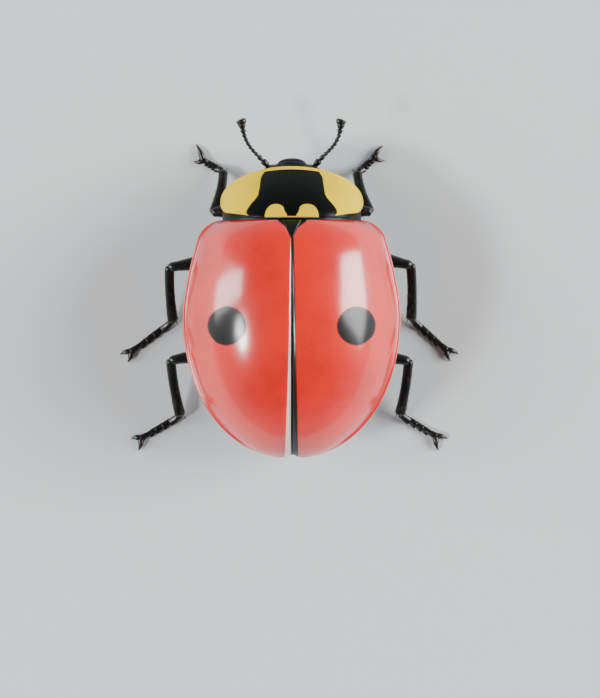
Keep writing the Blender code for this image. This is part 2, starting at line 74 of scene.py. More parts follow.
CASE_LOW, CASE_HIGH = frame_box("elytron_left")
SHIELD_LOW, SHIELD_HIGH = frame_box("pronotum")
HEAD_HIGH = frame_box("head")[1]
EYE_LOW, EYE_HIGH = frame_box("eye_left")
SCUTELLUM_LOW, SCUTELLUM_HIGH = frame_box("scutellum")
CHEST_LOW, CHEST_HIGH = frame_box("prosternum")
ABDOMEN_LOW, ABDOMEN_HIGH = frame_box("abdomen")

# Oval of the body from above, and its dome, as the solids have them
HALF_WIDTH = 2.0
WIDEST_Y = 0.5
FRONT_REACH, FRONT_POWER = 4.07, 1.5
TAIL_REACH, TAIL_POWER = 2.64, 2.1
RIM_Z = CASE_LOW.z
CROWN_Z = 2.65
CROWN_Y = 0.2
CROWN_FRONT_REACH = 2.1
DOME_POWER = 2.15

# Wing cases
CASE_FRONT_Y = CASE_LOW.y
CASE_TIP_Y = CASE_HIGH.y
SHOULDER_ROUND = 0.35
SHOULDER_X, SHOULDER_Y, SHOULDER_BUMP = 1.28, -0.80, 0.035
SHOULDER_WIDTH, SHOULDER_STRETCH = 0.24, 1.3
CORNER_ROUND, CORNER_DEPTH = 0.12, 0.06
SEAM_GAP = 0.006
TIP_ROUND, TIP_X = 0.11, 0.2
RIM_LIP, RIM_LIP_FADE = 0.07, 0.35
RIM_EDGE = 0.022
RIM_FLARE = 0.12
RIM_FILLET = 0.03
SEAM_ROUND_FRONT, SEAM_ROUND_TAIL = 0.035, 0.2
CASE_THICKNESS = 0.22
EPIPLEURON_FRONT, EPIPLEURON_TAIL = 0.40, 0.16
EPIPLEURON_RISE = 0.03
CASE_ROWS = 150
SECTION_STEPS, OUTER_POINTS, BEAD_POINTS, UNDER_POINTS, INSIDE_POINTS, WALL_POINTS = 500, 112, 9, 12, 26, 6

# Scutellum
SCUTELLUM_POINT = 0.012
SCUTELLUM_TAPER = 0.8
SCUTELLUM_DEPTH = 0.3
SCUTELLUM_CROWN = 0.05

# Pronotum
SHIELD_HALF_WIDTH = SHIELD_HIGH.x
SHIELD_MIDDLE_Y = -1.56
SHIELD_FRONT = SHIELD_MIDDLE_Y - SHIELD_LOW.y
SHIELD_REAR, SHIELD_REAR_POWER = 0.4, 2.5
SHIELD_REAR_Y = SHIELD_HIGH.y
SHIELD_REAR_Z, SHIELD_FRONT_Z, SHIELD_SLOPE = 2.17, 1.4, 1.5
SHIELD_BASE_REAR, SHIELD_BASE_FRONT = 1.36, 0.88
SHIELD_BASE_REAR_Z, SHIELD_BASE_FRONT_Z = 0.9, 0.62
SHIELD_EDGE = 0.028
SHIELD_WALL = 0.16
SHIELD_TURN_IN, SHIELD_TURN_DOWN = 0.11, 2.2 * SHIELD_EDGE
SHIELD_INSIDE = (1.0, 0.9, 0.7, 0.4, 0.15)
SHIELD_MARGIN, SHIELD_MARGIN_WIDTH = 0.012, 0.035
SHIELD_SPOKES, SHIELD_RINGS = 192, 48

# Head
HEAD_MIDDLE_Y = -2.02
HEAD_HALF_WIDTH = 0.56
HEAD_Z = 0.87
HEAD_HALF_HEIGHT = 0.31
HEAD_FRONT = 0.262
HEAD_POWER, HEAD_SECTION_POWER = 2.6, 2.2
HEAD_REAR = HEAD_HIGH.y - HEAD_MIDDLE_Y - 0.01
HEAD_SIDES, HEAD_RINGS = 120, 92
CLYPEUS_DEPTH, CLYPEUS_HALF_WIDTH = 0.09, 0.26
SOCKET_X, SOCKET_Z = 0.43, 0.84

LENS_LEVEL, LENS_HEIGHT, LENS_SIZE = 5, 0.018, 0.62
LIP_WIDTH, LIP_DEPTH, LIP_ROUND = 0.34, 0.10, (0.1, 0.4)
JAW_WIDTHS, JAW_DEPTHS = (0.13, 0.02), (0.10, 0.03)
CHIN_WIDTHS, CHIN_DEPTH, CHIN_ROUND = (0.40, 0.24), 0.12, (0.12, 0.12)

# Palps: start and end, as parts of the palp's length, and width of each joint before the hatchet
PALP_JOINTS = ((0.0, 0.26, 0.06), (0.24, 0.50, 0.075), (0.48, 0.66, 0.07))
PALP_ROUND = (0.2, 0.2)
HATCHET_START, HATCHET_WIDTHS, HATCHET_DEPTH, HATCHET_ROUND = 0.62, (0.06, 0.20), 0.07, (0.2, 0.08)

# Underside
KEEL_DEPTH = 0.28
KEEL_HALF_WIDTH, TAIL_KEEL_HALF_WIDTH = 0.62, 1.2
KEEL_WIDENS_Y, KEEL_WIDENS_OVER, KEEL_FADES_Y = 1.3, 0.7, 1.8
CHEST_INSET = 0.27
CHEST_WIDTHS = (0.80, 0.95, 1.0, 1.0)
CHEST_WIDTH_PLACES = (CHEST_LOW.y, -1.66, -1.45, CHEST_HIGH.y)
TRUNK_INSET = 0.5
TRUNK_TOP_POINTS, TRUNK_BELLY_POINTS = 40, 96
PLATE_GAP = 0.004
PLATE_EDGE = 0.02
COLLAR_INSET, COLLAR_HALF_WIDTH, COLLAR_DEPTH = 0.05, 1.27, 0.12
LINING_HALF_WIDTH, LINING_DEPTH, LINING_HALF_HEIGHT = 0.3, 0.12, 0.04
ABDOMEN_BANDS = 5

# Legs: plan positions of hip, knee, ankle, toe and the tips of the two claws, as the solids have them
LEGS = {
    "front_left": (
        (0.74, -1.46), (1.43, -1.38), (1.26, -2.16), (1.66, -2.36), (1.77, -2.64), (1.81, -2.32),
    ),
    "front_right": (
        (-0.74, -1.46), (-1.43, -1.39), (-1.20, -2.14), (-1.53, -2.42), (-1.69, -2.61), (-1.71, -2.34),
    ),
    "middle_left": (
        (0.86, -0.58), (2.24, -0.37), (2.18, 0.65), (2.98, 1.20), (3.16, 1.24), (3.03, 1.37),
    ),
    "middle_right": (
        (-0.86, -0.68), (-2.18, -0.41), (-2.19, 0.61), (-2.87, 1.17), (-3.06, 1.23), (-2.93, 1.35),
    ),
    "hind_left": (
        (0.86, 1.10), (2.22, 1.34), (2.04, 2.38), (2.80, 2.79), (2.96, 2.79), (2.83, 3.00),
    ),
    "hind_right": (
        (-0.86, 1.10), (-2.14, 1.35), (-1.98, 2.36), (-2.68, 2.75), (-2.87, 2.79), (-2.70, 3.00),
    ),
}
HIP_Z, KNEE_Z, ANKLE_Z, FOOT_Z, CLAW_Z = 0.62, 0.64, 0.16, 0.055, 0.012
HIP_WIDTH, HIP_DEPTH, HIP_ROUND = 0.40, 0.38, (0.45, 0.4)
TROCHANTER_WIDTH, TROCHANTER_DEPTH, TROCHANTER_ROUND = 0.24, 0.23, (0.3, 0.3)
THIGH_PLACES = (0.0, 0.3, 0.6, 0.86, 1.0)
THIGH_WIDTHS, THIGH_DEPTHS = (0.22, 0.30, 0.27, 0.185, 0.175), (0.20, 0.26, 0.24, 0.19, 0.175)
THIGH_ROUND, THIGH_BOW = (0.08, 0.09), 0.02
SHIN_PLACES = (0.0, 0.1, 0.6, 0.93, 1.0)
FRONT_SHIN_WIDTHS, FRONT_SHIN_BOW = (0.19, 0.205, 0.175, 0.175, 0.165), -0.04
SHIN_WIDTHS, SHIN_BOW = (0.175, 0.18, 0.178, 0.20, 0.19), 0.025
SHIN_DEPTHS, SHIN_ROUND = (0.14, 0.14, 0.135, 0.15, 0.14), (0.06, 0.07)
SPUR_WIDTH, SPUR_TIP, SPUR_LENGTH, SPUR_SPREAD = 0.022, 0.003, 0.075, 0.055

# Feet: start, end and width of each lobed joint, as parts of the foot's length and in millimetres
FOOT_JOINTS = ((-0.10, 0.25, 0.15), (0.18, 0.43, 0.15), (0.36, 0.61, 0.145), (0.54, 0.77, 0.14))
FOOT_DEPTH, FOOT_ROUND = 0.092, (0.10, 0.12)
LOBE_SHIFT, LOBE_BACK, LOBE_Z, INSTEP_RISE = 0.020, 0.004, 0.044, 0.085
TOE_START, TOE_BOW, TOE_ROUND = 0.68, 0.015, (0.1, 0.2)
TOE_PLACES, TOE_WIDTHS = (0.0, 0.3, 0.8, 1.0), (0.09, 0.10, 0.135, 0.145)
CLAW_PLACES, CLAW_WIDTHS, CLAW_BOW = (0.0, 0.3, 1.0), (0.125, 0.105, 0.008), 0.03
TOOTH_WIDTH, TOOTH_TIP = 0.04, 0.004

# Feelers: base, bends, start of the club and its tip
FEELERS = {
    "left": (
        (0.41, -2.20, 0.86), (0.695, -2.49, 0.93), (0.806, -2.62, 0.98), (0.882, -2.80, 1.02),
        (0.935, -3.09, 1.02),
    ),
    "right": (
        (-0.39, -2.20, 0.86), (-0.62, -2.45, 0.93), (-0.78, -2.60, 0.98), (-0.882, -2.80, 1.02),
        (-0.91, -3.09, 1.02),
    ),
}
FEELER_STEM = 0.735
FEELER_RADII = (0.062, 0.050, 0.042, 0.040, 0.040, 0.040, 0.041, 0.043, 0.055, 0.074)
CLUB_JOINT = 0.09
CLUB_WIDTHS, CLUB_ROUND, CLUB_SLANT = (0.13, 0.19), (0.12, 0.35), 0.22

# Bristles: how many grow on a square millimetre, their length and thickness, and how far they stand up
BRISTLES = {
    "head": (55, 0.055, 0.0022, 0.45),
    "lip": (90, 0.05, 0.002, 0.5),
    "palp": (120, 0.03, 0.0018, 0.5),
    "club": (420, 0.035, 0.0018, 0.55),
    "thorax": (30, 0.07, 0.0022, 0.3),
    "abdomen": (60, 0.07, 0.0022, 0.3),
    "hip": (60, 0.05, 0.0022, 0.4),
    "thigh": (60, 0.06, 0.0022, 0.35),
    "shin": (190, 0.065, 0.0022, 0.32),
    "foot": (330, 0.04, 0.0018, 0.28),
}

# Black parts: pits for each millimetre, their depth, the roughness, a tint on the black, and the shine
SHELLS = {
    "scutellum": (16.0, 0.004, 0.3, 1.0, 0.35),
    "head": (20.0, 0.005, 0.4, 1.0, 0.1),
    "mouthparts": (22.0, 0.003, 0.4, (1.6, 1.1, 0.8), 0.35),
    "feelers": (30.0, 0.002, 0.42, (1.3, 1.05, 0.85), 0.35),
    "legs": (26.0, 0.003, 0.36, 1.0, 0.35),
    "underside": (12.0, 0.006, 0.42, 1.0, 0.12),
}

# Stage: each light's place, its width and height in millimetres, its power in watts and its roll in degrees
LIGHTS = (
    ("key_light", (-158.5, -25.4, 69.2), (125.0, 100.0), 0.575, -23.0),
    ("fill_light", (163.6, -27.1, 63.9), (60.0, 115.0), 0.231, 18.0),
    ("glint_light", (131.0, 42.7, 118.8), (40.0, 25.0), 0.2, 20.0),
)
FLOOR_HALF = 1500.0
SKY_COLOR = (0.93, 0.96, 1.0)
SKY_TOP, SKY_LOW, SKY_HIGH = 0.7, 3.6, 0.45
LENS, SENSOR = 900.0, 36.0


# --- Curves and surfaces ---

def rise(value, power=2.0):
    """Height of a unit superellipse above its middle, at the given distance from its centre."""
    return np.maximum(0.0, 1.0 - np.minimum(1.0, np.abs(value)) ** power) ** (1.0 / power)


def mix(start, end, part):
    """Value the given part of the way from start to end."""
    return start + (end - start) * part


def ease(low, high, value):
    """Smooth step from 0 at low to 1 at high."""
    part = np.clip((value - low) / (high - low), 0.0, 1.0)
    return part * part * (3.0 - 2.0 * part)


def bell(value, width):
    """Smooth bump, 1 at 0 and near 0 beyond twice the width."""
    return np.exp(-(value / width) ** 2)


def circle(count, shift=0.0):
    """Angles once round, the first of them shift steps from 0."""
    return 2.0 * math.pi * (np.arange(count) + shift) / count


def squircle(angle, power):
    """Places across and up on a unit superellipse, which a power of 2 makes round."""
    return [np.sign(wave) * np.abs(wave) ** (2.0 / power) for wave in (np.cos(angle), np.sin(angle))]


def corner_drop(inside, radius):
    """How far a rounded corner falls, from 0 well inside it to 1 at its end."""
    return 1.0 - rise(np.maximum(0.0, radius - inside) / radius)


def stack(x, y, z):
    """Points as rows of x, y and z, each of which may be one number for all."""
    return np.column_stack(np.broadcast_arrays(x, y, z))


def oval_half_width(y, inset=0.0):
    """Half the width of the body's oval at y, with its shoulders rounded."""
    tail = (HALF_WIDTH - inset) * rise((y - WIDEST_Y) / (TAIL_REACH - inset), TAIL_POWER)
    corner = SHOULDER_ROUND * corner_drop(y - CASE_FRONT_Y, SHOULDER_ROUND)
    front = HALF_WIDTH * rise((y - WIDEST_Y) / FRONT_REACH, FRONT_POWER) - corner - inset
    return np.where(y > WIDEST_Y, tail, front)


def ridge_height(y, inset=0.0):
    """Height of the body's dome on its middle line."""
    reach = np.where(y < CROWN_Y, CROWN_FRONT_REACH, WIDEST_Y + TAIL_REACH - CROWN_Y - inset)
    return RIM_Z + (CROWN_Z - inset - RIM_Z) * rise((y - CROWN_Y) / reach)


def dome_height(x, y, inset=0.0):
    """Height of the body's dome at x, y."""
    width = np.maximum(oval_half_width(y, inset), 1e-6)
    return RIM_Z + (ridge_height(y, inset) - RIM_Z) * rise(x / width, DOME_POWER)


def shield_height(x, y, inset=0.0):
    """Height of the pronotum's upper face, or of a face inset below it."""
    along = np.clip((SHIELD_REAR_Y - y) / (SHIELD_REAR_Y - SHIELD_MIDDLE_Y + SHIELD_FRONT), 0.0, 1.0)
    crest = mix(SHIELD_REAR_Z, SHIELD_FRONT_Z, along ** SHIELD_SLOPE) - inset
    base = mix(SHIELD_BASE_REAR, SHIELD_BASE_FRONT, along ** 2) - inset
    base_z = mix(SHIELD_BASE_REAR_Z, SHIELD_BASE_FRONT_Z, along)
    return base_z + (crest - base_z) * rise(x / base, DOME_POWER)


def belly_height(x, y):
    """Height of the underside, with its keel between the legs."""
    widened = np.clip((y - KEEL_WIDENS_Y) / KEEL_WIDENS_OVER, 0.0, 1.0)
    width = mix(KEEL_HALF_WIDTH, TAIL_KEEL_HALF_WIDTH, widened)
    into_tail = np.maximum(0.0, (y - KEEL_FADES_Y) / (ABDOMEN_HIGH.y + 0.05 - KEEL_FADES_Y))
    return RIM_Z - KEEL_DEPTH * rise(x / width) * rise(into_tail)


def resample(curve, count, ends=0.0):
    """Points along an open curve; ends above 0 draws them closer together near both ends."""
    steps = np.linalg.norm(np.diff(curve, axis=0), axis=1)
    along = np.concatenate([[0.0], np.cumsum(steps)])
    part = np.linspace(0.0, 1.0, count)
    part = mix(part, 0.5 - 0.5 * np.cos(math.pi * part), ends)
    return np.column_stack([np.interp(part * along[-1], along, column) for column in curve.T])


def soften(curve, width):
    """Open curve with its corners rounded over about the given width and its ends kept."""
    curve = resample(curve, 700)
    step = np.linalg.norm(curve[1] - curve[0])
    reach = int(3.0 * width / step)
    kernel = np.exp(-0.5 * (np.arange(-reach, reach + 1) * step / width) ** 2)
    kernel /= kernel.sum()
    before = 2.0 * curve[0] - curve[reach:0:-1]
    after = 2.0 * curve[-1] - curve[-2:-reach - 2:-1]
    padded = np.concatenate([before, curve, after])
    return np.column_stack([np.convolve(column, kernel, "valid") for column in padded.T])


def bowed(start, end, steps, bow=(0.0, 0.0, 0.0)):
    """Path from start to end that bows out sideways by the given vector at its middle."""
    part = np.linspace(0.0, 1.0, steps)[:, None]
    straight = np.asarray(start) * (1.0 - part) + np.asarray(end) * part
    return straight + 4.0 * part * (1.0 - part) * np.asarray(bow)


def capsule(part, start, end):
    """Factor on a limb's width that rounds both its ends."""
    front = rise((start - np.minimum(part, start)) / start)
    back = rise((np.maximum(part, 1.0 - end) - 1.0 + end) / end)
    return np.maximum(front * back, 0.06)


def spread(values, places, count):
    """Values between those given at places from 0 to 1, at count even steps."""
    return np.interp(np.linspace(0.0, 1.0, count), places, values)


def unit(vector):
    """The vector at length 1."""
    return vector / np.linalg.norm(vector)


# --- Meshes ---

def new_piece(name, points, faces, finish, attributes=None):
    """Smooth object made of points, in millimetres, and faces, with its faces turned outwards."""
    mesh = bpy.data.meshes.new(name)
    mesh.from_pydata((np.asarray(points, float) * MM).tolist(), [], faces)
    shell = bmesh.new()
    shell.from_mesh(mesh)
    bmesh.ops.recalc_face_normals(shell, faces=shell.faces)
    shell.to_mesh(mesh)
    shell.free()
    mesh.shade_smooth()
    for label, (kind, values) in (attributes or {}).items():
        layer = mesh.attributes.new(label, kind, "POINT")
        key = "value" if kind == "FLOAT" else "vector"
        layer.data.foreach_set(key, np.asarray(values, np.float32).ravel())
    mesh.materials.append(finish)
    piece = bpy.data.objects.new(name, mesh)
    bpy.context.scene.collection.objects.link(piece)
    return piece


def skin_piece(name, rings, finish):
    """One closed skin over rings, as an object."""
    rings = np.asarray(rings)
    return new_piece(name, rings.reshape(-1, 3), ring_faces(*rings.shape[:2]), finish)


def dress(piece, slot, *nodes):
    """Makes a piece ride on the beetle and stand for solids of the frame. Its slot is not used."""
    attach(piece, "root")
    if nodes:
        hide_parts(*nodes)
    return piece


def ring_faces(rows, count, start=0, caps=(True, True)):
    """Faces of a skin over closed rings of count points each."""
    faces = []
    for row in range(rows - 1):
        for column in range(count):
            after = (column + 1) % count
            low = start + row * count
            faces.append((low + column, low + after, low + count + after, low + count + column))
    if caps[0]:
        faces.append(tuple(start + index for index in range(count - 1, -1, -1)))
    if caps[1]:
        faces.append(tuple(start + (rows - 1) * count + index for index in range(count)))
    return faces


SPIKE_STEPS = 8


class Bundle:
    """Several skins gathered into one mesh, with the direction in which bristles lie on them."""

    def __init__(self):
        self.points, self.faces, self.lie, self.place, self.hairy = [], [], [], [], []

    def skin(self, rings, lie=(0.0, 0.0, 0.0), hairy=1.0):
        """Adds a closed skin over rings, with its bristles lying along lie, as thickly as hairy says."""
        rings = np.asarray(rings, float)
        rows, count = rings.shape[:2]
        self.faces += ring_faces(rows, count, sum(len(part) for part in self.points))
        self.points.append(rings.reshape(-1, 3))
        self.lie.append(np.tile(np.asarray(lie, float), (rows * count, 1)))
        thick = np.broadcast_to(np.asarray(hairy, float).reshape(-1, 1), (rows, count))
        self.hairy.append(thick.ravel())
        around, along = np.meshgrid(np.linspace(0.0, 1.0, count), np.linspace(0.0, 1.0, rows))
        self.place.append(np.column_stack([around.ravel(), along.ravel()]))
        return self

    def limb(self, path, widths, depths, ends, lie=(0.0, 0.0, 0.0), hairy=1.0, **section):
        """Adds a limb along a path, with both its ends rounded."""
        rounding = capsule(np.linspace(0.0, 1.0, len(path)), *ends)
        return self.skin(sweep(path, widths * rounding, depths * rounding, **section), lie, hairy)

    def spike(self, start, end, width, tip, sides, **section):
        """Adds a straight bare spike."""
        part = np.linspace(0.0, 1.0, SPIKE_STEPS)
        widths = mix(width, tip, part)
        return self.skin(sweep(bowed(start, end, SPIKE_STEPS), widths, widths, sides, **section), hairy=0.0)

    def piece(self, name, finish):
        """The gathered skins as one object. Each skin's unwrap lies in its own strip of a unit square."""
        strips = len(self.place)
        places = []
        for strip, place in enumerate(self.place):
            across = (strip + 0.1 + 0.8 * place[:, 0]) / strips
            places.append(np.column_stack([across, 0.05 + 0.9 * place[:, 1], np.zeros(len(place))]))
        attributes = {
            "lie": ("FLOAT_VECTOR", np.concatenate(self.lie)),
            "root_place": ("FLOAT_VECTOR", np.concatenate(places)),
            "hairy": ("FLOAT", np.concatenate(self.hairy)),
        }
        return new_piece(name, np.concatenate(self.points), self.faces, finish, attributes=attributes)


def sweep(path, widths, depths, sides, power=2.0, floor=None):
    """Rings of a limb along a path, each across the path, with the given widths and depths."""
    path = np.asarray(path, float)
    heading = np.gradient(path, axis=0)
    heading /= np.linalg.norm(heading, axis=1)[:, None]
    side = np.cross(heading, (0.0, 0.0, 1.0))
    side /= np.linalg.norm(side, axis=1)[:, None]
    top = np.cross(side, heading)
    across, above = squircle(circle(sides, 0.5), power)
    widths = 0.5 * np.broadcast_to(widths, len(path))
    depths = 0.5 * np.broadcast_to(depths, len(path))
    rings = (
        path[:, None, :]
        + side[:, None, :] * (widths[:, None] * across[None, :])[..., None]
        + top[:, None, :] * (depths[:, None] * above[None, :])[..., None]
    )
    if floor is not None:
        rings[..., 2] = np.maximum(rings[..., 2], floor)
    return rings


# --- Materials ---

class Nodes:
    """A node tree under construction."""

    def __init__(self, tree):
        self.tree = tree

    def feed(self, node, inputs):
        """Sets a node's sockets to values, or links them to fields, nodes or other sockets."""
        for key, value in inputs.items():
            if isinstance(value, Field):
                value = value.socket
            elif isinstance(value, bpy.types.Node):
                value = value.outputs[0]
            if isinstance(value, bpy.types.NodeSocket):
                self.tree.links.new(value, node.inputs[key])
            else:
                node.inputs[key].default_value = value

    def add(self, kind, settings=None, inputs=None):
        """Node of the given type, with its settings made first and its sockets fed after."""
        node = self.tree.nodes.new(kind)
        for name, value in (settings or {}).items():
            setattr(node, name, value)
        self.feed(node, inputs or {})
        return node

    def field(self, kind, settings=None, inputs=None, output=0):
        """Number that a new node of the given type gives."""
        return Field(self, self.add(kind, settings, inputs).outputs[output])

    def vector(self, operation, first, second=None, scale=None):
        """Vector Math node's result."""
        inputs = {0: first}
        if second is not None:
            inputs[1] = second
        if scale is not None:
            inputs["Scale"] = scale
        return self.add("ShaderNodeVectorMath", {"operation": operation}, inputs).outputs[0]

    def split(self, vector):
        """The x, y and z of a vector."""
        apart = self.add("ShaderNodeSeparateXYZ", None, {0: vector})
        return [Field(self, socket) for socket in apart.outputs]


class Field:
    """A number that varies over a surface. Python's operators on it add Math nodes."""

    def __init__(self, nodes, socket):
        self.nodes = nodes
        self.socket = socket

    def math(self, operation, *values):
        """Math node with this number as its first value."""
        inputs = dict(enumerate((self,) + values))
        return self.nodes.field("ShaderNodeMath", {"operation": operation}, inputs)

    def __add__(self, other):
        return self.math("ADD", other)

    __radd__ = __add__

    def __sub__(self, other):
        return self.math("SUBTRACT", other)

    def __rsub__(self, other):
        return (self * -1.0) + other

    def __mul__(self, other):
        return self.math("MULTIPLY", other)

    __rmul__ = __mul__

    def __truediv__(self, other):
        return self.math("DIVIDE", other)

    def __pow__(self, other):
        return self.math("POWER", other)

    def __abs__(self):
        return self.math("ABSOLUTE")

    def above(self, low, high):
        """Smooth step from 0 at low to 1 at high, which may be the smaller one."""
        inputs = {"Value": self, "From Min": low, "From Max": high, "To Min": 0.0, "To Max": 1.0}
        return self.nodes.field("ShaderNodeMapRange", {"interpolation_type": "SMOOTHSTEP"}, inputs)

    def largest(self, other):
        """The larger of two numbers."""
        return self.math("MAXIMUM", other)


class Finish(Nodes):
    """A material under construction: one Principled shader and the nodes that feed it."""

    def __init__(self, name, color, roughness, **constants):
        self.material = bpy.data.materials.new(name)
        self.material.use_nodes = True
        super().__init__(self.material.node_tree)
        self.shader = self.tree.nodes["Principled BSDF"]
        self.set(**{"Base Color": (*color, 1.0), "Roughness": roughness}, **constants)

    def set(self, **inputs):
        """Sets or links sockets of the shader; an underscore in a name stands for a space."""
        self.feed(self.shader, {name.replace("_", " "): value for name, value in inputs.items()})

    def place(self):
        """Object coordinates in millimetres: their vector, and x, y and z."""
        spot = self.vector("SCALE", self.add("ShaderNodeTexCoord").outputs["Object"], scale=1.0 / MM)
        return spot, *self.split(spot)

    def noise(self, spot, scale, detail=2.0):
        """Noise from 0 to 1, of about scale features for each millimetre."""
        return self.field("ShaderNodeTexNoise", None, {"Vector": spot, "Scale": scale, "Detail": detail})

    def pits(self, spot, scale, size):
        """Fine round pits, 1 on the surface and 0 at a pit's bottom."""
        inputs = {"Vector": spot, "Scale": scale, "Randomness": 0.85}
        return self.field("ShaderNodeTexVoronoi", None, inputs, "Distance").above(0.0, size)

    def blend(self, mask, start, end):
        """Colour between start and end, as the mask says."""
        node = self.add("ShaderNodeMix", {"data_type": "RGBA"}, {"Factor": mask})
        colors = [socket for socket in node.inputs if socket.type == "RGBA"]
        for socket, value in zip(colors, (start, end)):
            if isinstance(value, bpy.types.NodeSocket):
                self.tree.links.new(value, socket)
            else:
                socket.default_value = (*value[:3], 1.0)
        return next(socket for socket in node.outputs if socket.type == "RGBA")

    def mottled(self, mask, color, shade):
        """The colour, and where the mask says the same colour shade times as bright."""
        return self.blend(mask, color, darker(color, shade))

    def bump(self, height, depth):
        """Raises the surface by height, 0 to 1, times depth in millimetres."""
        node = self.add("ShaderNodeBump", None, {"Height": height, "Distance": depth * MM, "Strength": 1.0})
        self.set(Normal=node.outputs[0])


def darker(color, shade):
    """The colour with each of its parts multiplied by shade, or by one of three shades."""
    return tuple(np.multiply(color, shade).tolist())


def settings():
    """The sizes and colours that the panel shows."""
    return bpy.context.scene.ladybird


@cache
def wing_case_finish():
    """Glossy red with a round black spot on each wing case, a black seam line with painted shade on the right
    case's seam edge, and a painted highlight on the left case's seam edge.
    """
    chosen = settings()
    gloss = {"Coat_Weight": 1.0, "Coat_Roughness": 0.18, "Coat_IOR": 1.85, "Specular_IOR_Level": 0.12}
    finish = Finish("wing_case", chosen.red, 0.3, **gloss)
    spot, x, y, z = finish.place()
    side = abs(x)
    right = x.above(0.0, -0.01)

    # Round spot with a slightly uneven outline
    radius, blur = chosen.spot_radius / MM, 0.018
    wobble = (finish.noise(spot, 2.5) - 0.5) * 0.05
    across, along = side - chosen.spot_x / MM, y - chosen.spot_y / MM
    black = ((across ** 2.0 + along ** 2.0) ** 0.5 + wobble).above(radius + blur, radius - blur)

    # Black seam line on both cases, widening to the tail on the right case's seam edge as painted shade of a
    # parted seam, and black corners beside the scutellum
    seam_line_and_shade_width = right * ((y + 1.2) * 0.021 + 0.016) + 0.010
    corner = (y.above(-0.86, -1.24) ** 2.5) * 0.25
    band = (side - seam_line_and_shade_width - corner).above(0.010, -0.006)

    # Painted highlight: a pale strip that widens to the tail on the left seam edge
    behind = (y + 0.8).largest(0.0)
    painted_highlight_width = behind * 0.010 + behind ** 2.0 * 0.0045 + 0.018
    bead_and_painted_highlight = (side - painted_highlight_width).above(0.009, -0.009) * (1.0 - right) * y.above(-1.0, -0.5)

    red = finish.mottled(finish.noise(spot, 1.1, 3.0).above(0.35, 0.75), chosen.red, 0.80)
    edge = z.above(RIM_Z + 0.35, RIM_Z + 0.02)
    red = finish.blend(edge * 0.45, red, darker(chosen.red, 0.62))
    # Painted highlight on the left seam edge, blended into the red
    red = finish.blend(bead_and_painted_highlight * 0.85, red, chosen.bead_and_painted_highlight)
    # Black spots, and the black seam line with its painted shade
    finish.set(Base_Color=finish.blend(black.largest(band), red, chosen.black))
    finish.set(Coat_Weight=1.0 - black.largest(band * right) * 0.6)
    finish.bump(finish.pits(spot, 17.0, 0.3) * 0.6 + finish.noise(spot, 5.0) * 0.5, 0.006)
    finish.set(Roughness=0.36 + finish.noise(spot, 9.0) * 0.12)
    return finish.material


@cache
def pronotum_finish():
    """Glossy yellow with a black M-shaped mark and a black rear border."""
    chosen = settings()
    gloss = {"Coat_Weight": 0.12, "Coat_Roughness": 0.16, "Specular_IOR_Level": 0.06}
    finish = Finish("pronotum", chosen.yellow, 0.3, **gloss)
    spot, x, y = finish.place()[:3]
    side = abs(x)
    wobble = (finish.noise(spot, 4.0) - 0.5) * 0.035

    # Block of the mark, wider behind, between its front edge and its two sides
    flare = y.above(-1.72, -1.38) * 0.17
    front_corner, rear_corner = y.above(-2.0, -2.14) * 0.05, y.above(-1.37, -1.26) * 0.09
    half_width = (y + 2.12) * 0.15 + 0.55 + flare - front_corner - rear_corner
    within = (side + wobble - half_width).above(0.007, -0.007)
    front = (y - (side ** 2.0) * 0.17 + 2.162).above(-0.006, 0.008)

    # Two yellow arches that cut into it from behind, the black tongue between them and the stripe behind it
    arch = (abs(side - 0.29) / 0.205) ** 2.2 + (abs(y + wobble + 1.262) / 0.258) ** 2.2
    tongue = (side / 0.15) ** 2.2 + (abs(y + wobble + 1.52) / 0.225) ** 2.2
    arches = arch.above(1.06, 0.95) * tongue.above(0.95, 1.06)
    stripe = (y + 1.298).above(-0.006, 0.006) * side.above(0.49, 0.47)
    mark = within * front * (1.0 - arches.largest(stripe))

    outward = side / 1.2
    border = (y + outward ** 2.0 * 0.075 + 1.262 + outward.above(0.3, 0.9) * 0.03).above(-0.008, 0.012)
    yellow = finish.mottled(finish.noise(spot, 2.0, 3.0).above(0.35, 0.75), chosen.yellow, 0.86)
    finish.set(Base_Color=finish.blend(mark.largest(border), yellow, chosen.black))
    finish.bump(finish.pits(spot, 17.0, 0.2) + finish.noise(spot, 6.0) * 0.4, 0.004)
    finish.set(Roughness=0.28 + finish.noise(spot, 9.0) * 0.12)
    return finish.material


def black_shell(name):
    """Black chitin with pits, faint brown where it is thin, and an uneven gloss."""
    pit_scale, pit_depth, gloss, tint, shine = SHELLS[name]
    base = darker(settings().black, tint)
    finish = Finish(name, base, gloss, Coat_Weight=shine, Coat_Roughness=0.15, Specular_IOR_Level=shine)
    spot = finish.place()[0]
    brown = tuple(part * 1.5 + extra for part, extra in zip(base, (0.004, 0.002, 0.001)))
    finish.set(Base_Color=finish.blend(finish.noise(spot, 3.0, 3.0).above(0.45, 0.8), base, brown))
    finish.bump(finish.pits(spot, pit_scale, 0.3) + finish.noise(spot, pit_scale * 0.6) * 0.5, pit_depth)
    finish.set(Roughness=gloss + (finish.noise(spot, 12.0) - 0.5) * 0.2)
    return finish


@cache
def shell_finish(name):
    """Black chitin of one part of the body."""
    return black_shell(name).material


@cache
def head_finish():
    """Pitted black with a small pale spot beside each eye."""
    finish = black_shell("head")
    x, y, z = finish.place()[1:]
    away = (((abs(x) - 0.33) / 0.05) ** 2.0 + ((z - 0.83) / 0.075) ** 2.0) ** 0.5
    pale = away.above(1.1, 0.85) * y.above(-1.9, -2.1)
    base = finish.shader.inputs["Base Color"].links[0].from_socket
    finish.set(Base_Color=finish.blend(pale, base, (0.72, 0.60, 0.30)))
    return finish.material


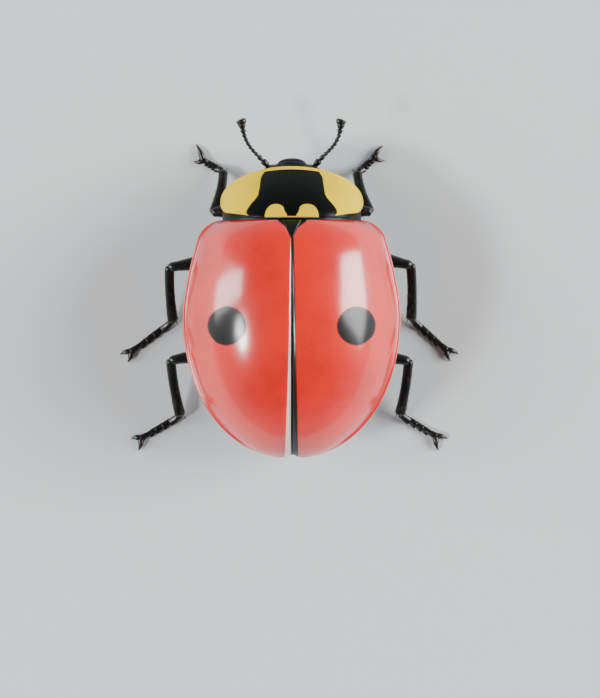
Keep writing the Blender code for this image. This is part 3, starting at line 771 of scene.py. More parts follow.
@cache
def eye_finish():
    """Black eye with a glossy lens over each facet."""
    return Finish("compound_eye", (0.008, 0.008, 0.010), 0.16, Coat_Weight=1.0, Coat_Roughness=0.05).material


@cache
def claw_finish():
    """Smooth dark brown horn."""
    return Finish("claws", (0.016, 0.010, 0.007), 0.35, Coat_Weight=0.3, Coat_Roughness=0.15).material


@cache
def bristle_finish():
    """Fine dark golden bristles."""
    finish = Finish("bristles", (0.10, 0.065, 0.03), 0.45)
    shade = finish.noise(finish.place()[0], 8.0)
    finish.set(Base_Color=finish.blend(shade, (0.05, 0.032, 0.016), (0.20, 0.14, 0.07)))
    return finish.material


@cache
def floor_finish():
    """Plain pale paint."""
    tone = settings().floor
    finish = Finish("floor", tone, 0.75)
    finish.set(Base_Color=finish.mottled(finish.noise(finish.place()[0], 0.02), tone, 0.985))
    return finish.material


# --- Geometry Nodes ---

class Tree(Nodes):
    """A geometry node tree with named inputs."""

    def __init__(self, name, inputs):
        super().__init__(bpy.data.node_groups.new(name, "GeometryNodeTree"))
        sockets = self.tree.interface
        sockets.new_socket("Geometry", in_out="INPUT", socket_type="NodeSocketGeometry")
        for label, kind in inputs.items():
            sockets.new_socket(label, in_out="INPUT", socket_type="NodeSocket" + kind)
        sockets.new_socket("Geometry", in_out="OUTPUT", socket_type="NodeSocketGeometry")
        self.given = self.tree.nodes.new("NodeGroupInput").outputs
        self.result = self.tree.nodes.new("NodeGroupOutput").inputs[0]

    def attribute(self, label, kind="FLOAT_VECTOR"):
        """Named attribute of the incoming geometry."""
        node = self.add("GeometryNodeInputNamedAttribute", {"data_type": kind}, {"Name": label})
        return node.outputs["Attribute"]

    def store(self, geometry, label, value, kind="FLOAT_VECTOR", domain="POINT"):
        """Geometry with a named attribute written on it."""
        settings = {"data_type": kind, "domain": domain}
        inputs = {"Geometry": geometry, "Name": label, "Value": value}
        return self.add("GeometryNodeStoreNamedAttribute", settings, inputs)

    def real(self, geometry):
        """Geometry with its instances made real copies."""
        return self.add("GeometryNodeRealizeInstances", None, {"Geometry": geometry})

    def close(self, geometry):
        """Ends the tree with the material and hands the tree out."""
        inputs = {"Geometry": geometry, "Material": self.given["Finish"]}
        self.tree.links.new(self.add("GeometryNodeSetMaterial", None, inputs).outputs[0], self.result)
        return self.tree


def grow(tree, source, name, values):
    """Plain mesh object that a node tree makes from source."""
    holder = bpy.data.objects.new(name + "_source", source)
    bpy.context.scene.collection.objects.link(holder)
    modifier = holder.modifiers.new("Growth", "NODES")
    modifier.node_group = tree
    for item in tree.interface.items_tree:
        if item.in_out == "INPUT" and item.name in values:
            modifier[item.identifier] = values[item.name]
    bpy.context.view_layer.update()
    evaluated = holder.evaluated_get(bpy.context.evaluated_depsgraph_get())
    mesh = bpy.data.meshes.new_from_object(evaluated)
    mesh.name = name
    holder.modifiers.remove(modifier)
    bpy.data.objects.remove(holder)
    if not mesh.polygons:
        raise RuntimeError(f"{name} grew nothing")
    piece = bpy.data.objects.new(name, mesh)
    bpy.context.scene.collection.objects.link(piece)
    return piece


@cache
def copies_tree():
    """Copies of a model at marked points, turned along "heading" and sized by "size"."""
    tree = Tree("Copies along a path", {"Model": "Object", "Finish": "Material"})
    space = {"transform_space": "ORIGINAL"}
    model = tree.add("GeometryNodeObjectInfo", space, {"Object": tree.given["Model"]})
    heading = {"Vector": tree.attribute("heading")}
    placed = tree.add("GeometryNodeInstanceOnPoints", None, {
        "Points": tree.given["Geometry"],
        "Instance": model.outputs["Geometry"],
        "Rotation": tree.add("FunctionNodeAlignRotationToVector", {"axis": "Z"}, heading),
        "Scale": tree.attribute("size"),
    })
    return tree.close(tree.real(placed))


@cache
def bristle_tree():
    """Curved bristles over a skin, leaning from its "lie" direction towards its normal."""
    patch_scale, curl, stray_by, smallest, largest = 0.0015, 0.22, 0.16, 0.6, 1.1
    tree = Tree("Bristles", {
        "Density": "Float", "Length": "Float", "Thickness": "Float", "Lift": "Float", "Seed": "Int",
        "Finish": "Material",
    })
    length, thickness, seed = (tree.given[label] for label in ("Length", "Thickness", "Seed"))
    density = Field(tree, tree.given["Density"]) * tree.attribute("hairy", "FLOAT")
    spread_out = tree.add("GeometryNodeDistributePointsOnFaces", {"distribute_method": "RANDOM"}, {
        "Mesh": tree.given["Geometry"], "Density": density, "Seed": seed,
    })
    cone = tree.add("GeometryNodeMeshCone", {"fill_type": "NGON"}, {
        "Vertices": 4, "Side Segments": 3, "Fill Segments": 1, "Radius Top": 1e-6,
        "Radius Bottom": thickness, "Depth": length,
    })

    # Each bristle takes its own small patch of the skin's unwrap, and bends more towards its tip
    x, y, z = tree.split(tree.add("GeometryNodeInputPosition").outputs[0])
    along = z / length
    patch = tree.add("ShaderNodeCombineXYZ", None, {0: (y * 0.5 + x) / thickness, 1: along})
    patch = tree.vector("SCALE", patch.outputs[0], scale=patch_scale)
    marked = tree.store(cone.outputs["Mesh"], "patch", patch)
    shift = tree.add("ShaderNodeCombineXYZ", None, {0: along ** 2.0 * length * -curl})
    bent = tree.add("GeometryNodeSetPosition", None, {"Geometry": marked, "Offset": shift})

    lean = tree.vector("SCALE", spread_out.outputs["Normal"], scale=tree.given["Lift"])
    stray = tree.add("FunctionNodeRandomValue", {"data_type": "FLOAT_VECTOR"}, {
        "Min": (-stray_by,) * 3, "Max": (stray_by,) * 3, "Seed": seed,
    })
    way = tree.vector("ADD", tree.vector("ADD", tree.attribute("lie"), lean), stray.outputs[0])
    sizes = {2: smallest, 3: largest, "Seed": seed}
    size = tree.add("FunctionNodeRandomValue", {"data_type": "FLOAT"}, sizes)
    placed = tree.add("GeometryNodeInstanceOnPoints", None, {
        "Points": spread_out.outputs["Points"],
        "Instance": bent,
        "Rotation": tree.add("FunctionNodeAlignRotationToVector", {"axis": "Z"}, {"Vector": way}),
        "Scale": size.outputs[1],
    })
    map_place = tree.vector("ADD", tree.attribute("root_place"), tree.attribute("patch"))
    return tree.close(tree.store(tree.real(placed), "OFBake", map_place, "FLOAT2", "CORNER"))


@cache
def facet_tree():
    """Honeycomb of low lenses over a ball, one for each facet of an eye."""
    inputs = {"Level": "Int", "Lens Height": "Float", "Lens Size": "Float", "Finish": "Material"}
    tree = Tree("Facets", inputs)
    ball = tree.add("GeometryNodeMeshIcoSphere", None, {"Radius": 1.0, "Subdivisions": tree.given["Level"]})
    rim = tree.add("GeometryNodeExtrudeMesh", {"mode": "FACES"}, {
        "Mesh": tree.add("GeometryNodeDualMesh", None, {"Mesh": ball}),
        "Offset Scale": tree.given["Lens Height"], "Individual": True,
    })
    lens = tree.add("GeometryNodeScaleElements", {"domain": "FACE"}, {
        "Geometry": rim.outputs["Mesh"], "Selection": rim.outputs["Top"], "Scale": tree.given["Lens Size"],
    })
    return tree.close(tree.real(lens))


def add_bristles(piece, name, kind, seed, slot):
    """Grows bristles of one kind on a finished piece."""
    density, length, thickness, lift = BRISTLES[kind]
    grown = grow(bristle_tree(), piece.data.copy(), name, {
        "Density": density * settings().bristle_amount / MM ** 2,
        "Length": length * MM,
        "Thickness": thickness * MM,
        "Lift": lift,
        "Seed": seed,
        "Finish": bristle_finish(),
    })
    for vertex in grown.data.vertices:
        vertex.co.z = max(vertex.co.z, 0.0)
    return dress(grown, slot)


# --- Wing cases and scutellum ---

def seam_gap(y):
    """Distance of a wing case's inner edge from the middle line: scutellum, seam, then the rounded tip."""
    behind = y - CASE_FRONT_Y
    beside = 1.0 - (behind / (SCUTELLUM_HIGH.y - CASE_FRONT_Y + 0.02)) ** SCUTELLUM_TAPER
    notch = (SCUTELLUM_HIGH.x + SCUTELLUM_POINT) * beside
    corner = CORNER_DEPTH * corner_drop(behind, CORNER_ROUND)
    into_tip = np.clip((y - CASE_TIP_Y + TIP_ROUND) / TIP_ROUND, 0.0, 1.0)
    return max(SEAM_GAP, notch) + corner + (TIP_X - SEAM_GAP) * (1.0 - rise(into_tip))


def shoulder_bump(x, y):
    """Slight swelling over each shoulder, longer than it is wide."""
    away = np.hypot(x - SHOULDER_X, (y - SHOULDER_Y) / SHOULDER_STRETCH)
    return SHOULDER_BUMP * bell(away, SHOULDER_WIDTH)


def case_section(y):
    """Closed outline of one wing case, cut across the body at y, as rows of (x, z)."""
    start = seam_gap(y)
    along = (y - CASE_FRONT_Y) / (CASE_TIP_Y - CASE_FRONT_Y)
    reach = max(float(oval_half_width(y)), start + 0.03)
    span = reach - start
    crest = float(ridge_height(y)) - RIM_Z

    # Dome over a flared rim, falling to the seam
    edge = min(RIM_EDGE, 0.25 * span)
    lip = min(RIM_LIP, 0.3 * span) * ease(CASE_TIP_Y, CASE_TIP_Y - RIM_LIP_FADE, y)
    x = start + (span - edge) * np.sin(np.linspace(0.0, 0.5 * math.pi, SECTION_STEPS))
    dome = RIM_Z + crest * rise(x / (reach - lip), DOME_POWER) + shoulder_bump(x, y)
    flange = RIM_Z + 2.0 * edge + RIM_FLARE * (reach - edge - x)
    outer = soften(np.column_stack([x, np.maximum(dome, flange)]), RIM_FILLET)
    turn = min(mix(SEAM_ROUND_FRONT, SEAM_ROUND_TAIL, along), 0.25 * span)
    outer[:, 1] -= 0.6 * turn * corner_drop(outer[:, 0] - start, turn)
    outer = resample(outer, OUTER_POINTS, 0.8)

    # Rounded edge of the rim, and the epipleuron folded under it
    angle = np.linspace(0.5 * math.pi, -0.5 * math.pi, BEAD_POINTS)[1:]
    bead_and_painted_highlight = np.column_stack([reach - edge + edge * np.cos(angle), RIM_Z + edge + edge * np.sin(angle)])
    inner_reach = max(reach - mix(EPIPLEURON_FRONT, EPIPLEURON_TAIL, along), start + 0.4 * span)
    under = resample(np.array([
        (reach - edge, RIM_Z), (mix(reach, inner_reach, 0.3), RIM_Z + 0.02),
        (mix(reach, inner_reach, 0.7), RIM_Z + 0.035), (inner_reach, RIM_Z + EPIPLEURON_RISE),
    ]), UNDER_POINTS)[1:]

    # Hollow underside and the wall at the seam
    room = max(crest - CASE_THICKNESS * min(1.0, crest, span) - EPIPLEURON_RISE, 0.01)
    part = np.linspace(0.5 * math.pi, 0.0, INSIDE_POINTS)[1:]
    inside = np.column_stack([
        start + (inner_reach - start) * np.sin(part),
        RIM_Z + EPIPLEURON_RISE + room * np.cos(part) ** (2.0 / DOME_POWER),
    ])
    wall = np.linspace(inside[-1, 1], outer[0, 1], WALL_POINTS)[1:-1]
    return np.concatenate([outer, bead_and_painted_highlight, under, inside, np.column_stack([np.full(len(wall), start), wall])])


def shrink(loop, depth):
    """Closed outline moved inwards by depth."""
    after = np.roll(loop, -1, axis=0)
    ahead = after - np.roll(loop, 1, axis=0)
    ahead /= np.maximum(np.linalg.norm(ahead, axis=1), 1e-9)[:, None]
    area = 0.5 * float(np.sum(loop[:, 0] * after[:, 1] - after[:, 0] * loop[:, 1]))
    return loop + depth * np.column_stack([ahead[:, 1], -ahead[:, 0]]) * (-1.0 if area > 0.0 else 1.0)


def build_wing_case(side, name, node):
    """Domed shell with a flared rim, an edge folded under it, a rounded seam edge and a rounded tip."""
    part = np.linspace(0.0, 1.0, CASE_ROWS)
    part = mix(part, 0.5 - 0.5 * np.cos(math.pi * part), 0.85)
    rows = [(y, 0.0) for y in mix(CASE_FRONT_Y + 0.02, CASE_TIP_Y - 0.008, part)]
    rows = [(CASE_FRONT_Y, 0.016), (CASE_FRONT_Y + 0.005, 0.006)] + rows + [(CASE_TIP_Y, 0.006)]
    rings = []
    for y, depth in rows:
        loop = case_section(y)
        if depth:
            loop = shrink(loop, depth)
        rings.append(stack(side * loop[:, 0], y, loop[:, 1]))
    return dress(skin_piece(name, rings, wing_case_finish()), "wing_cases", node)


def build_scutellum():
    """Small black triangle with a softly domed face and rounded edges."""
    rings = []
    for along in np.linspace(0.0, 1.0, 28):
        y = mix(SCUTELLUM_LOW.y, SCUTELLUM_HIGH.y, along)
        half = mix(SCUTELLUM_HIGH.x, SCUTELLUM_POINT, along ** SCUTELLUM_TAPER)
        lower = 0.02 * corner_drop(along, 0.06) + 0.03 * (1.0 - rise(max(0.0, along - 0.85) / 0.15))
        x = half * np.cos(np.linspace(math.pi, 0.0, 25))
        level = dome_height(0.0, y)
        fall = SCUTELLUM_CROWN * (1.0 - rise(x / max(half, 1e-6), 3.0)) * min(1.0, half / 0.1)
        z = np.append(level + 0.004 - lower - fall, np.full(2, level - SCUTELLUM_DEPTH))
        rings.append(stack(np.append(x, (half, -half)), y, z))
    return dress(skin_piece("scutellum_plate", rings, shell_finish("scutellum")), "scutellum", "scutellum")


# --- Pronotum ---

def shield_outline(inset=0.0):
    """Outline of the pronotum from above: an oval, squarer and cut straight behind."""
    angle = circle(SHIELD_SPOKES)
    behind = np.sin(angle) > 0.0
    x, y = squircle(angle, np.where(behind, SHIELD_REAR_POWER, 2.0))
    y = SHIELD_MIDDLE_Y + np.where(behind, SHIELD_REAR, SHIELD_FRONT - inset) * y
    return (SHIELD_HALF_WIDTH - inset) * x, np.minimum(y, SHIELD_REAR_Y - inset)


def build_pronotum():
    """Domed shield with a fine raised margin, a rounded edge and a hollow underside."""
    edge_x, edge_y = shield_outline(SHIELD_EDGE)
    out = np.hypot(edge_x, edge_y - SHIELD_MIDDLE_Y)
    rings = []
    for part in np.sin(np.linspace(0.0, 0.5 * math.pi, SHIELD_RINGS))[1:]:
        x, y = edge_x * part, mix(SHIELD_MIDDLE_Y, edge_y, part)
        margin = bell((1.0 - part) * out, SHIELD_MARGIN_WIDTH)
        margin = margin * ease(SHIELD_REAR_Y - 0.02, SHIELD_REAR_Y - 0.12, edge_y)
        rings.append(stack(x, y, shield_height(x, y) + SHIELD_MARGIN * margin))
    top = rings[-1][:, 2]
    for angle in np.linspace(0.0, math.pi, 9)[1:]:
        x, y = shield_outline(SHIELD_EDGE * (1.0 - math.sin(angle)))
        rings.append(stack(x, y, top - SHIELD_EDGE * (1.0 - math.cos(angle))))
    rings.append(stack(*shield_outline(SHIELD_TURN_IN), top - SHIELD_TURN_DOWN))
    inner_x, inner_y = shield_outline(SHIELD_WALL)
    for part in SHIELD_INSIDE:
        x, y = inner_x * part, mix(SHIELD_MIDDLE_Y, inner_y, part)
        level = np.minimum(top - SHIELD_EDGE, shield_height(x, y) - SHIELD_WALL)
        rings.append(stack(x, y, np.maximum(level, shield_height(x, y, SHIELD_WALL))))

    poles = [float(shield_height(0.0, SHIELD_MIDDLE_Y, inset)) for inset in (0.0, SHIELD_WALL)]
    points = np.concatenate(rings + [stack(0.0, SHIELD_MIDDLE_Y, poles)])
    faces = ring_faces(len(rings), SHIELD_SPOKES, caps=(False, False))
    last = (len(rings) - 1) * SHIELD_SPOKES
    for spoke in range(SHIELD_SPOKES):
        after = (spoke + 1) % SHIELD_SPOKES
        faces.append((len(points) - 2, spoke, after))
        faces.append((len(points) - 1, last + after, last + spoke))
    return dress(new_piece("pronotum_shield", points, faces, pronotum_finish()), "pronotum", "pronotum")


# --- Head ---

def face_relief(x, z):
    """How far the face stands out: the lip shield, its groove, and a ring round each feeler's socket."""
    shield = CLYPEUS_DEPTH * rise(x / CLYPEUS_HALF_WIDTH) * ease(0.56, 0.66, z) * ease(1.10, 0.86, z)
    groove = -0.010 * bell(z - (0.985 - 0.25 * x ** 2), 0.014) * ease(0.32, 0.26, np.abs(x))
    from_socket = np.hypot(np.abs(x) - SOCKET_X, z - SOCKET_Z)
    socket = 0.016 * bell(from_socket - 0.085, 0.022) - 0.03 * bell(from_socket, 0.06)
    brow = -0.012 * bell(np.abs(x), 0.10) * ease(1.0, 1.08, z)
    return shield + groove + socket + brow


def build_head():
    """Rounded head with its face sculpted in relief."""
    across, above = squircle(circle(HEAD_SIDES, 0.5), HEAD_SECTION_POWER)
    rings = []
    for lean in np.linspace(-0.5 * math.pi, 0.5 * math.pi, HEAD_RINGS)[1:-1]:
        reach = HEAD_REAR if lean < 0.0 else HEAD_FRONT
        size, forward = squircle(lean, HEAD_POWER)
        x, z = HEAD_HALF_WIDTH * size * across, HEAD_Z + HEAD_HALF_HEIGHT * size * above
        relief = face_relief(x, z) * ease(0.1, 0.6, forward)
        rings.append(stack(x, HEAD_MIDDLE_Y - reach * forward - relief, z))
    bundle = Bundle().skin(rings, (0.0, -0.3, -1.0), ease(20, 60, np.arange(len(rings))))
    piece = dress(bundle.piece("head_capsule", head_finish()), "head", "head")
    add_bristles(piece, "head_bristles", "head", 11, "head")


def build_eye(side, name, node):
    """Kidney-shaped eye, covered with lenses."""
    values = {"Level": LENS_LEVEL, "Lens Height": LENS_HEIGHT, "Lens Size": LENS_SIZE, "Finish": eye_finish()}
    piece = grow(facet_tree(), bpy.data.meshes.new(name + "_start"), name, values)
    mesh = piece.data
    spots = np.empty(len(mesh.vertices) * 3, np.float32)
    mesh.vertices.foreach_get("co", spots)
    x, y, z = spots.reshape(-1, 3).T
    dent = 0.22 * bell(np.hypot(y + 0.95, z + 0.1), 0.4)
    centre, reach = 0.5 * (EYE_LOW + EYE_HIGH), 0.5 * (EYE_HIGH - EYE_LOW)
    root = EYE_LOW.x - 0.01
    placed = stack(
        side * (root + (EYE_HIGH.x - root) * x),
        centre.y + reach.y * y * (1.0 - dent),
        centre.z + reach.z * z * (1.0 - 0.4 * dent),
    ) * MM
    mesh.vertices.foreach_set("co", placed.astype(np.float32).ravel())
    if side < 0.0:
        mesh.flip_normals()
    mesh.update()
    mesh.shade_flat()
    dress(piece, "eyes", node)


def build_mouth():
    """Upper lip, jaws and chin under the face."""
    bundle = Bundle()
    lip = bowed((0.0, -2.22, 0.62), (0.0, -2.345, 0.54), 14)
    bundle.limb(lip, LIP_WIDTH, LIP_DEPTH, LIP_ROUND, (0.0, -1.0, -0.4), sides=28, power=2.6)
    steps = np.linspace(0.0, 1.0, 16)
    for side in (1.0, -1.0):
        jaw = bowed((side * 0.15, -2.16, 0.49), (side * 0.02, -2.33, 0.455), 16, (side * 0.06, -0.02, 0.0))
        bundle.skin(sweep(jaw, mix(*JAW_WIDTHS, steps), mix(*JAW_DEPTHS, steps), 16), hairy=0.0)
    chin = bowed((0.0, -2.02, 0.46), (0.0, -2.22, 0.40), 12)
    width = np.linspace(*CHIN_WIDTHS, 12)
    bundle.limb(chin, width, CHIN_DEPTH, CHIN_ROUND, (0.0, -1.0, 0.0), sides=24, power=2.4)
    piece = dress(bundle.piece("jaws_and_lip", shell_finish("mouthparts")), "mouthparts", "mouthparts")
    add_bristles(piece, "lip_bristles", "lip", 12, "mouthparts")


def build_palp(side, name, node):
    """Palp of four joints, the last a broad hatchet."""
    low, high = frame_box(node)
    base = np.array((side * 0.12, high.y - 0.12, 0.455))
    tip = np.array((side * 0.36, low.y + 0.12, low.z + 0.06))
    bundle = Bundle()
    for start, end, width in PALP_JOINTS:
        size = width * np.linspace(0.6, 1.0, 10)
        path = bowed(mix(base, tip, start), mix(base, tip, end), 10)
        bundle.limb(path, size, size, PALP_ROUND, tip - base, sides=16)
    hatchet = bowed(mix(base, tip, HATCHET_START), tip, 14)
    bundle.limb(hatchet, np.linspace(*HATCHET_WIDTHS, 14), HATCHET_DEPTH, HATCHET_ROUND, tip - base, sides=24)
    piece = dress(bundle.piece(name, shell_finish("mouthparts")), "mouthparts", node)
    add_bristles(piece, name + "_bristles", "palp", 13, "mouthparts")


# --- Feelers ---

def bead_model():
    """One joint of a feeler, narrow at its base, of unit length and radius."""
    steps = np.linspace(0.0, 1.0, 14)
    width = (0.66 + 0.34 * ease(0.05, 0.7, steps)) * capsule(steps, 0.05, 0.2)
    across, above = squircle(circle(20), 2.0)
    rings = [stack(size * across, size * above, step) for size, step in zip(width, steps)]
    return skin_piece("bead_model", np.array(rings) / MM, shell_finish("feelers"))


def point_at(path, part):
    """Point on a path, at a part of it from 0 to 1."""
    return np.array([np.interp(part, np.linspace(0.0, 1.0, len(path)), column) for column in path.T])


def build_feeler(side, points, seed):
    """Feeler of eleven joints: a thick first one, beads, and a club of three that is cut slantwise."""
    path = resample(soften(np.array(points), 0.07), 200)
    club_joints = FEELER_STEM + CLUB_JOINT * np.array((1.0, 2.0))
    ends = np.concatenate([(0.0, 0.17), np.linspace(0.27, FEELER_STEM, 7), club_joints])
    spots, headings, sizes = [], [], []
    for start, end, radius in zip(ends[:-1], ends[1:], FEELER_RADII):
        low, high = point_at(path, start), point_at(path, end)
        length = np.linalg.norm(high - low)
        spots.append(low)
        headings.append((high - low) / length)
        sizes.append((radius, radius, length * 1.06))
    model = bead_model()
    marks = bpy.data.meshes.new("marks")
    marks.from_pydata((np.array(spots) * MM).tolist(), [], [])
    for label, values in (("heading", headings), ("size", np.array(sizes) * MM)):
        layer = marks.attributes.new(label, "FLOAT_VECTOR", "POINT")
        layer.data.foreach_set("vector", np.asarray(values, np.float32).ravel())
    stem = grow(copies_tree(), marks, f"feeler_{side}", {"Model": model, "Finish": shell_finish("feelers")})
    stem.data.shade_smooth()
    bpy.data.objects.remove(model)
    dress(stem, "feelers", f"antenna_{side}")

    low, tip = point_at(path, FEELER_STEM + 0.16), path[-1]
    steps = np.linspace(0.0, 1.0, 18)
    width = mix(*CLUB_WIDTHS, ease(0.0, 0.5, steps)) * capsule(steps, *CLUB_ROUND)
    rings = sweep(bowed(low, tip, 18), width, width * 0.85, 24)
    outward = 1.0 if side == "left" else -1.0
    rings[..., 1] += CLUB_SLANT * (rings[..., 0] - tip[0]) * outward * ease(0.4, 1.0, steps)[:, None]
    club = Bundle().skin(rings, tip - low).piece(f"feeler_club_{side}", shell_finish("feelers"))
    dress(club, "feelers", f"antenna_club_{side}")
    add_bristles(club, f"feeler_club_bristles_{side}", "club", seed, "feelers")


# --- Underside ---

def trunk_rings(rows, top, half_width, relief):
    """Sections of the trunk: a top face, and the keeled belly with its relief."""
    rings = []
    for y in rows:
        half = half_width(y)
        upper = half * np.sin(np.linspace(-0.5 * math.pi, 0.5 * math.pi, TRUNK_TOP_POINTS))
        lower = half * np.cos(np.linspace(0.0, math.pi, TRUNK_BELLY_POINTS + 2))[1:-1]
        belly = belly_height(lower, y) + relief(lower, y)
        rings.append(stack(np.append(upper, lower), y, np.append(top(upper, y), belly)))
    return np.array(rings)


def node_rows(low, high, count):
    """Rows from end to end of a plate, a hair short of its neighbours."""
    return np.linspace(low.y + PLATE_GAP, high.y - PLATE_GAP, count)


def trunk_width(y):
    """Half the width of the trunk inside the wing cases."""
    return max(float(oval_half_width(y, TRUNK_INSET)), 0.05)


def trunk_top(x, y):
    """Height of the trunk's top inside the wing cases."""
    return dome_height(x, y, TRUNK_INSET + 0.05)


def add_trunk(name, node, rings, bristles=None, seed=0):
    """One plate of the underside, with its sparse bristles."""
    bundle = Bundle().skin(rings, (0.0, 1.0, 0.0))
    below = (np.arange(rings.shape[1]) > TRUNK_TOP_POINTS + 1).astype(float)
    bundle.hairy[0] = np.tile(below, rings.shape[0])
    piece = dress(bundle.piece(name, shell_finish("underside")), "underside", *([node] if node else []))
    if bristles:
        add_bristles(piece, name + "_bristles", bristles, seed, "underside")


def build_chest():
    """Plate under the pronotum, with two ridges and two hollows."""
    def relief(x, y):
        ridge = -0.02 * bell(np.abs(x) - 0.11, 0.02) * ease(CHEST_LOW.y, CHEST_LOW.y + 0.15, y)
        return ridge + 0.03 * bell(np.abs(x) - 0.55, 0.16)

    def top(x, y):
        return shield_height(x, y, CHEST_INSET)

    def half_width(y):
        return float(np.interp(y, CHEST_WIDTH_PLACES, CHEST_WIDTHS))

    rings = trunk_rings(node_rows(CHEST_LOW, CHEST_HIGH, 26), top, half_width, relief)
    add_trunk("prosternum_plate", "prosternum", rings, "thorax", 31)


def build_collar():
    """Neck that fills the gap between the pronotum and the wing cases."""
    def top(x, y):
        under_cases = dome_height(x, max(y, CASE_FRONT_Y + 0.02), COLLAR_INSET)
        return np.minimum(shield_height(x, y, COLLAR_INSET), under_cases)

    rows = np.linspace(SHIELD_REAR_Y - 0.15, CASE_FRONT_Y + 0.16, 16)
    rings = trunk_rings(rows, top, lambda y: COLLAR_HALF_WIDTH, lambda x, y: 0.0)
    rings[..., 2] = np.maximum(rings[..., 2], RIM_Z - COLLAR_DEPTH)
    add_trunk("collar", None, rings)


def build_thorax():
    """Two plates between the legs, grooved along the middle."""
    for name, seed in (("mesosternum", 32), ("metasternum", 33)):
        low, high = frame_box(name)

        def relief(x, y, low=low, high=high):
            rounding = corner_drop(high.y - y, PLATE_EDGE) + corner_drop(y - low.y, PLATE_EDGE)
            return 0.018 * bell(x, 0.022) + 0.02 * bell(np.abs(x) - 0.86, 0.10) + PLATE_EDGE * rounding

        rings = trunk_rings(node_rows(low, high, 36), trunk_top, trunk_width, relief)
        add_trunk(name + "_plate", name, rings, "thorax", seed)


def build_lining():
    """Soft back under the seam, which closes the line between the wing cases."""
    across, above = squircle(circle(24), 2.0)
    rings = []
    for y in np.linspace(CASE_FRONT_Y + 0.3, CASE_TIP_Y - 0.05, 60):
        half = LINING_HALF_WIDTH * mix(0.3, 1.0, rise(max(0.0, y - 2.2) / 0.9))
        top = max(float(ridge_height(y)) - LINING_DEPTH, RIM_Z + 0.06)
        rings.append(stack(half * across, y, top - LINING_HALF_HEIGHT * (1.0 - above)))
    add_trunk("back_lining", None, np.array(rings))


def build_abdomen():
    """Belly of five visible rings, each stepped against the next."""
    low, high = ABDOMEN_LOW, ABDOMEN_HIGH
    band = (high.y - low.y) / ABDOMEN_BANDS

    def relief(x, y):
        into = ((y - low.y) / band) % 1.0
        step = 0.035 * ease(0.86, 1.0, into) + 0.035 * ease(0.10, 0.0, into)
        bulge = -0.012 * math.sin(math.pi * into)
        bent = y - (low.y + 0.30 - 0.5 * (np.abs(x) - 0.45) ** 2)
        return step + bulge + 0.012 * bell(bent, 0.014) * ease(0.95, 0.85, np.abs(x))

    rings = trunk_rings(node_rows(low, high, 110), trunk_top, trunk_width, relief)
    add_trunk("abdomen_rings", "abdomen", rings, "abdomen", 34)


# --- Legs ---

def add_leg_part(bundle, part, node, place, seed):
    """One jointed part of a leg, with its bristles."""
    piece = dress(bundle.piece(f"{part}_{place}", shell_finish("legs")), "legs", f"{node}_{place}")
    add_bristles(piece, f"{part}_bristles_{place}", part, seed, "legs")


def build_leg(place, plan, seed):
    """Hip, thigh, shin, foot and claws of one leg, with their bristles."""
    hip, knee, ankle, toe = (
        np.array((*spot, height)) for spot, height in zip(plan, (HIP_Z, KNEE_Z, ANKLE_Z, FOOT_Z))
    )
    side = 1.0 if "left" in place else -1.0
    outward = np.array((side, 0.0, 0.0))
    thigh, shin = unit(knee - hip), unit(ankle - knee)

    path = bowed(hip - 0.30 * thigh, hip - 0.02 * thigh, 22)
    coxa = Bundle().limb(path, HIP_WIDTH, HIP_DEPTH, HIP_ROUND, thigh, 0.5, sides=28)
    add_leg_part(coxa, "hip", "coxa", place, seed)

    path = bowed(hip - 0.06 * thigh, hip + 0.14 * thigh, 14)
    femur = Bundle().limb(path, TROCHANTER_WIDTH, TROCHANTER_DEPTH, TROCHANTER_ROUND, thigh, 0.4, sides=20)
    path = bowed(hip + 0.06 * thigh, knee + 0.05 * thigh, 34, (0.0, 0.0, THIGH_BOW))
    widths, depths = (spread(values, THIGH_PLACES, len(path)) for values in (THIGH_WIDTHS, THIGH_DEPTHS))
    femur.limb(path, widths, depths, THIGH_ROUND, thigh, 0.6, sides=28)
    add_leg_part(femur, "thigh", "femur", place, seed + 1)

    widths, bow = (FRONT_SHIN_WIDTHS, FRONT_SHIN_BOW) if "front" in place else (SHIN_WIDTHS, SHIN_BOW)
    path = bowed(knee - 0.04 * shin, ankle, 40, bow * outward)
    widths, depths = (spread(values, SHIN_PLACES, len(path)) for values in (widths, SHIN_DEPTHS))
    hairy = 0.4 + 1.2 * ease(0.3, 1.0, np.linspace(0.0, 1.0, len(path)))
    tibia = Bundle().limb(path, widths, depths, SHIN_ROUND, shin, hairy, sides=24, power=2.4)
    for turn in (-1.0, 1.0):
        root = ankle - 0.02 * shin + SPUR_SPREAD * turn * outward
        tibia.spike(root, root + SPUR_LENGTH * shin + 0.03 * turn * outward, SPUR_WIDTH, SPUR_TIP, 8)
    add_leg_part(tibia, "shin", "tibia", place, seed + 2)

    build_foot(place, ankle, toe, plan[4:], side, seed + 3)


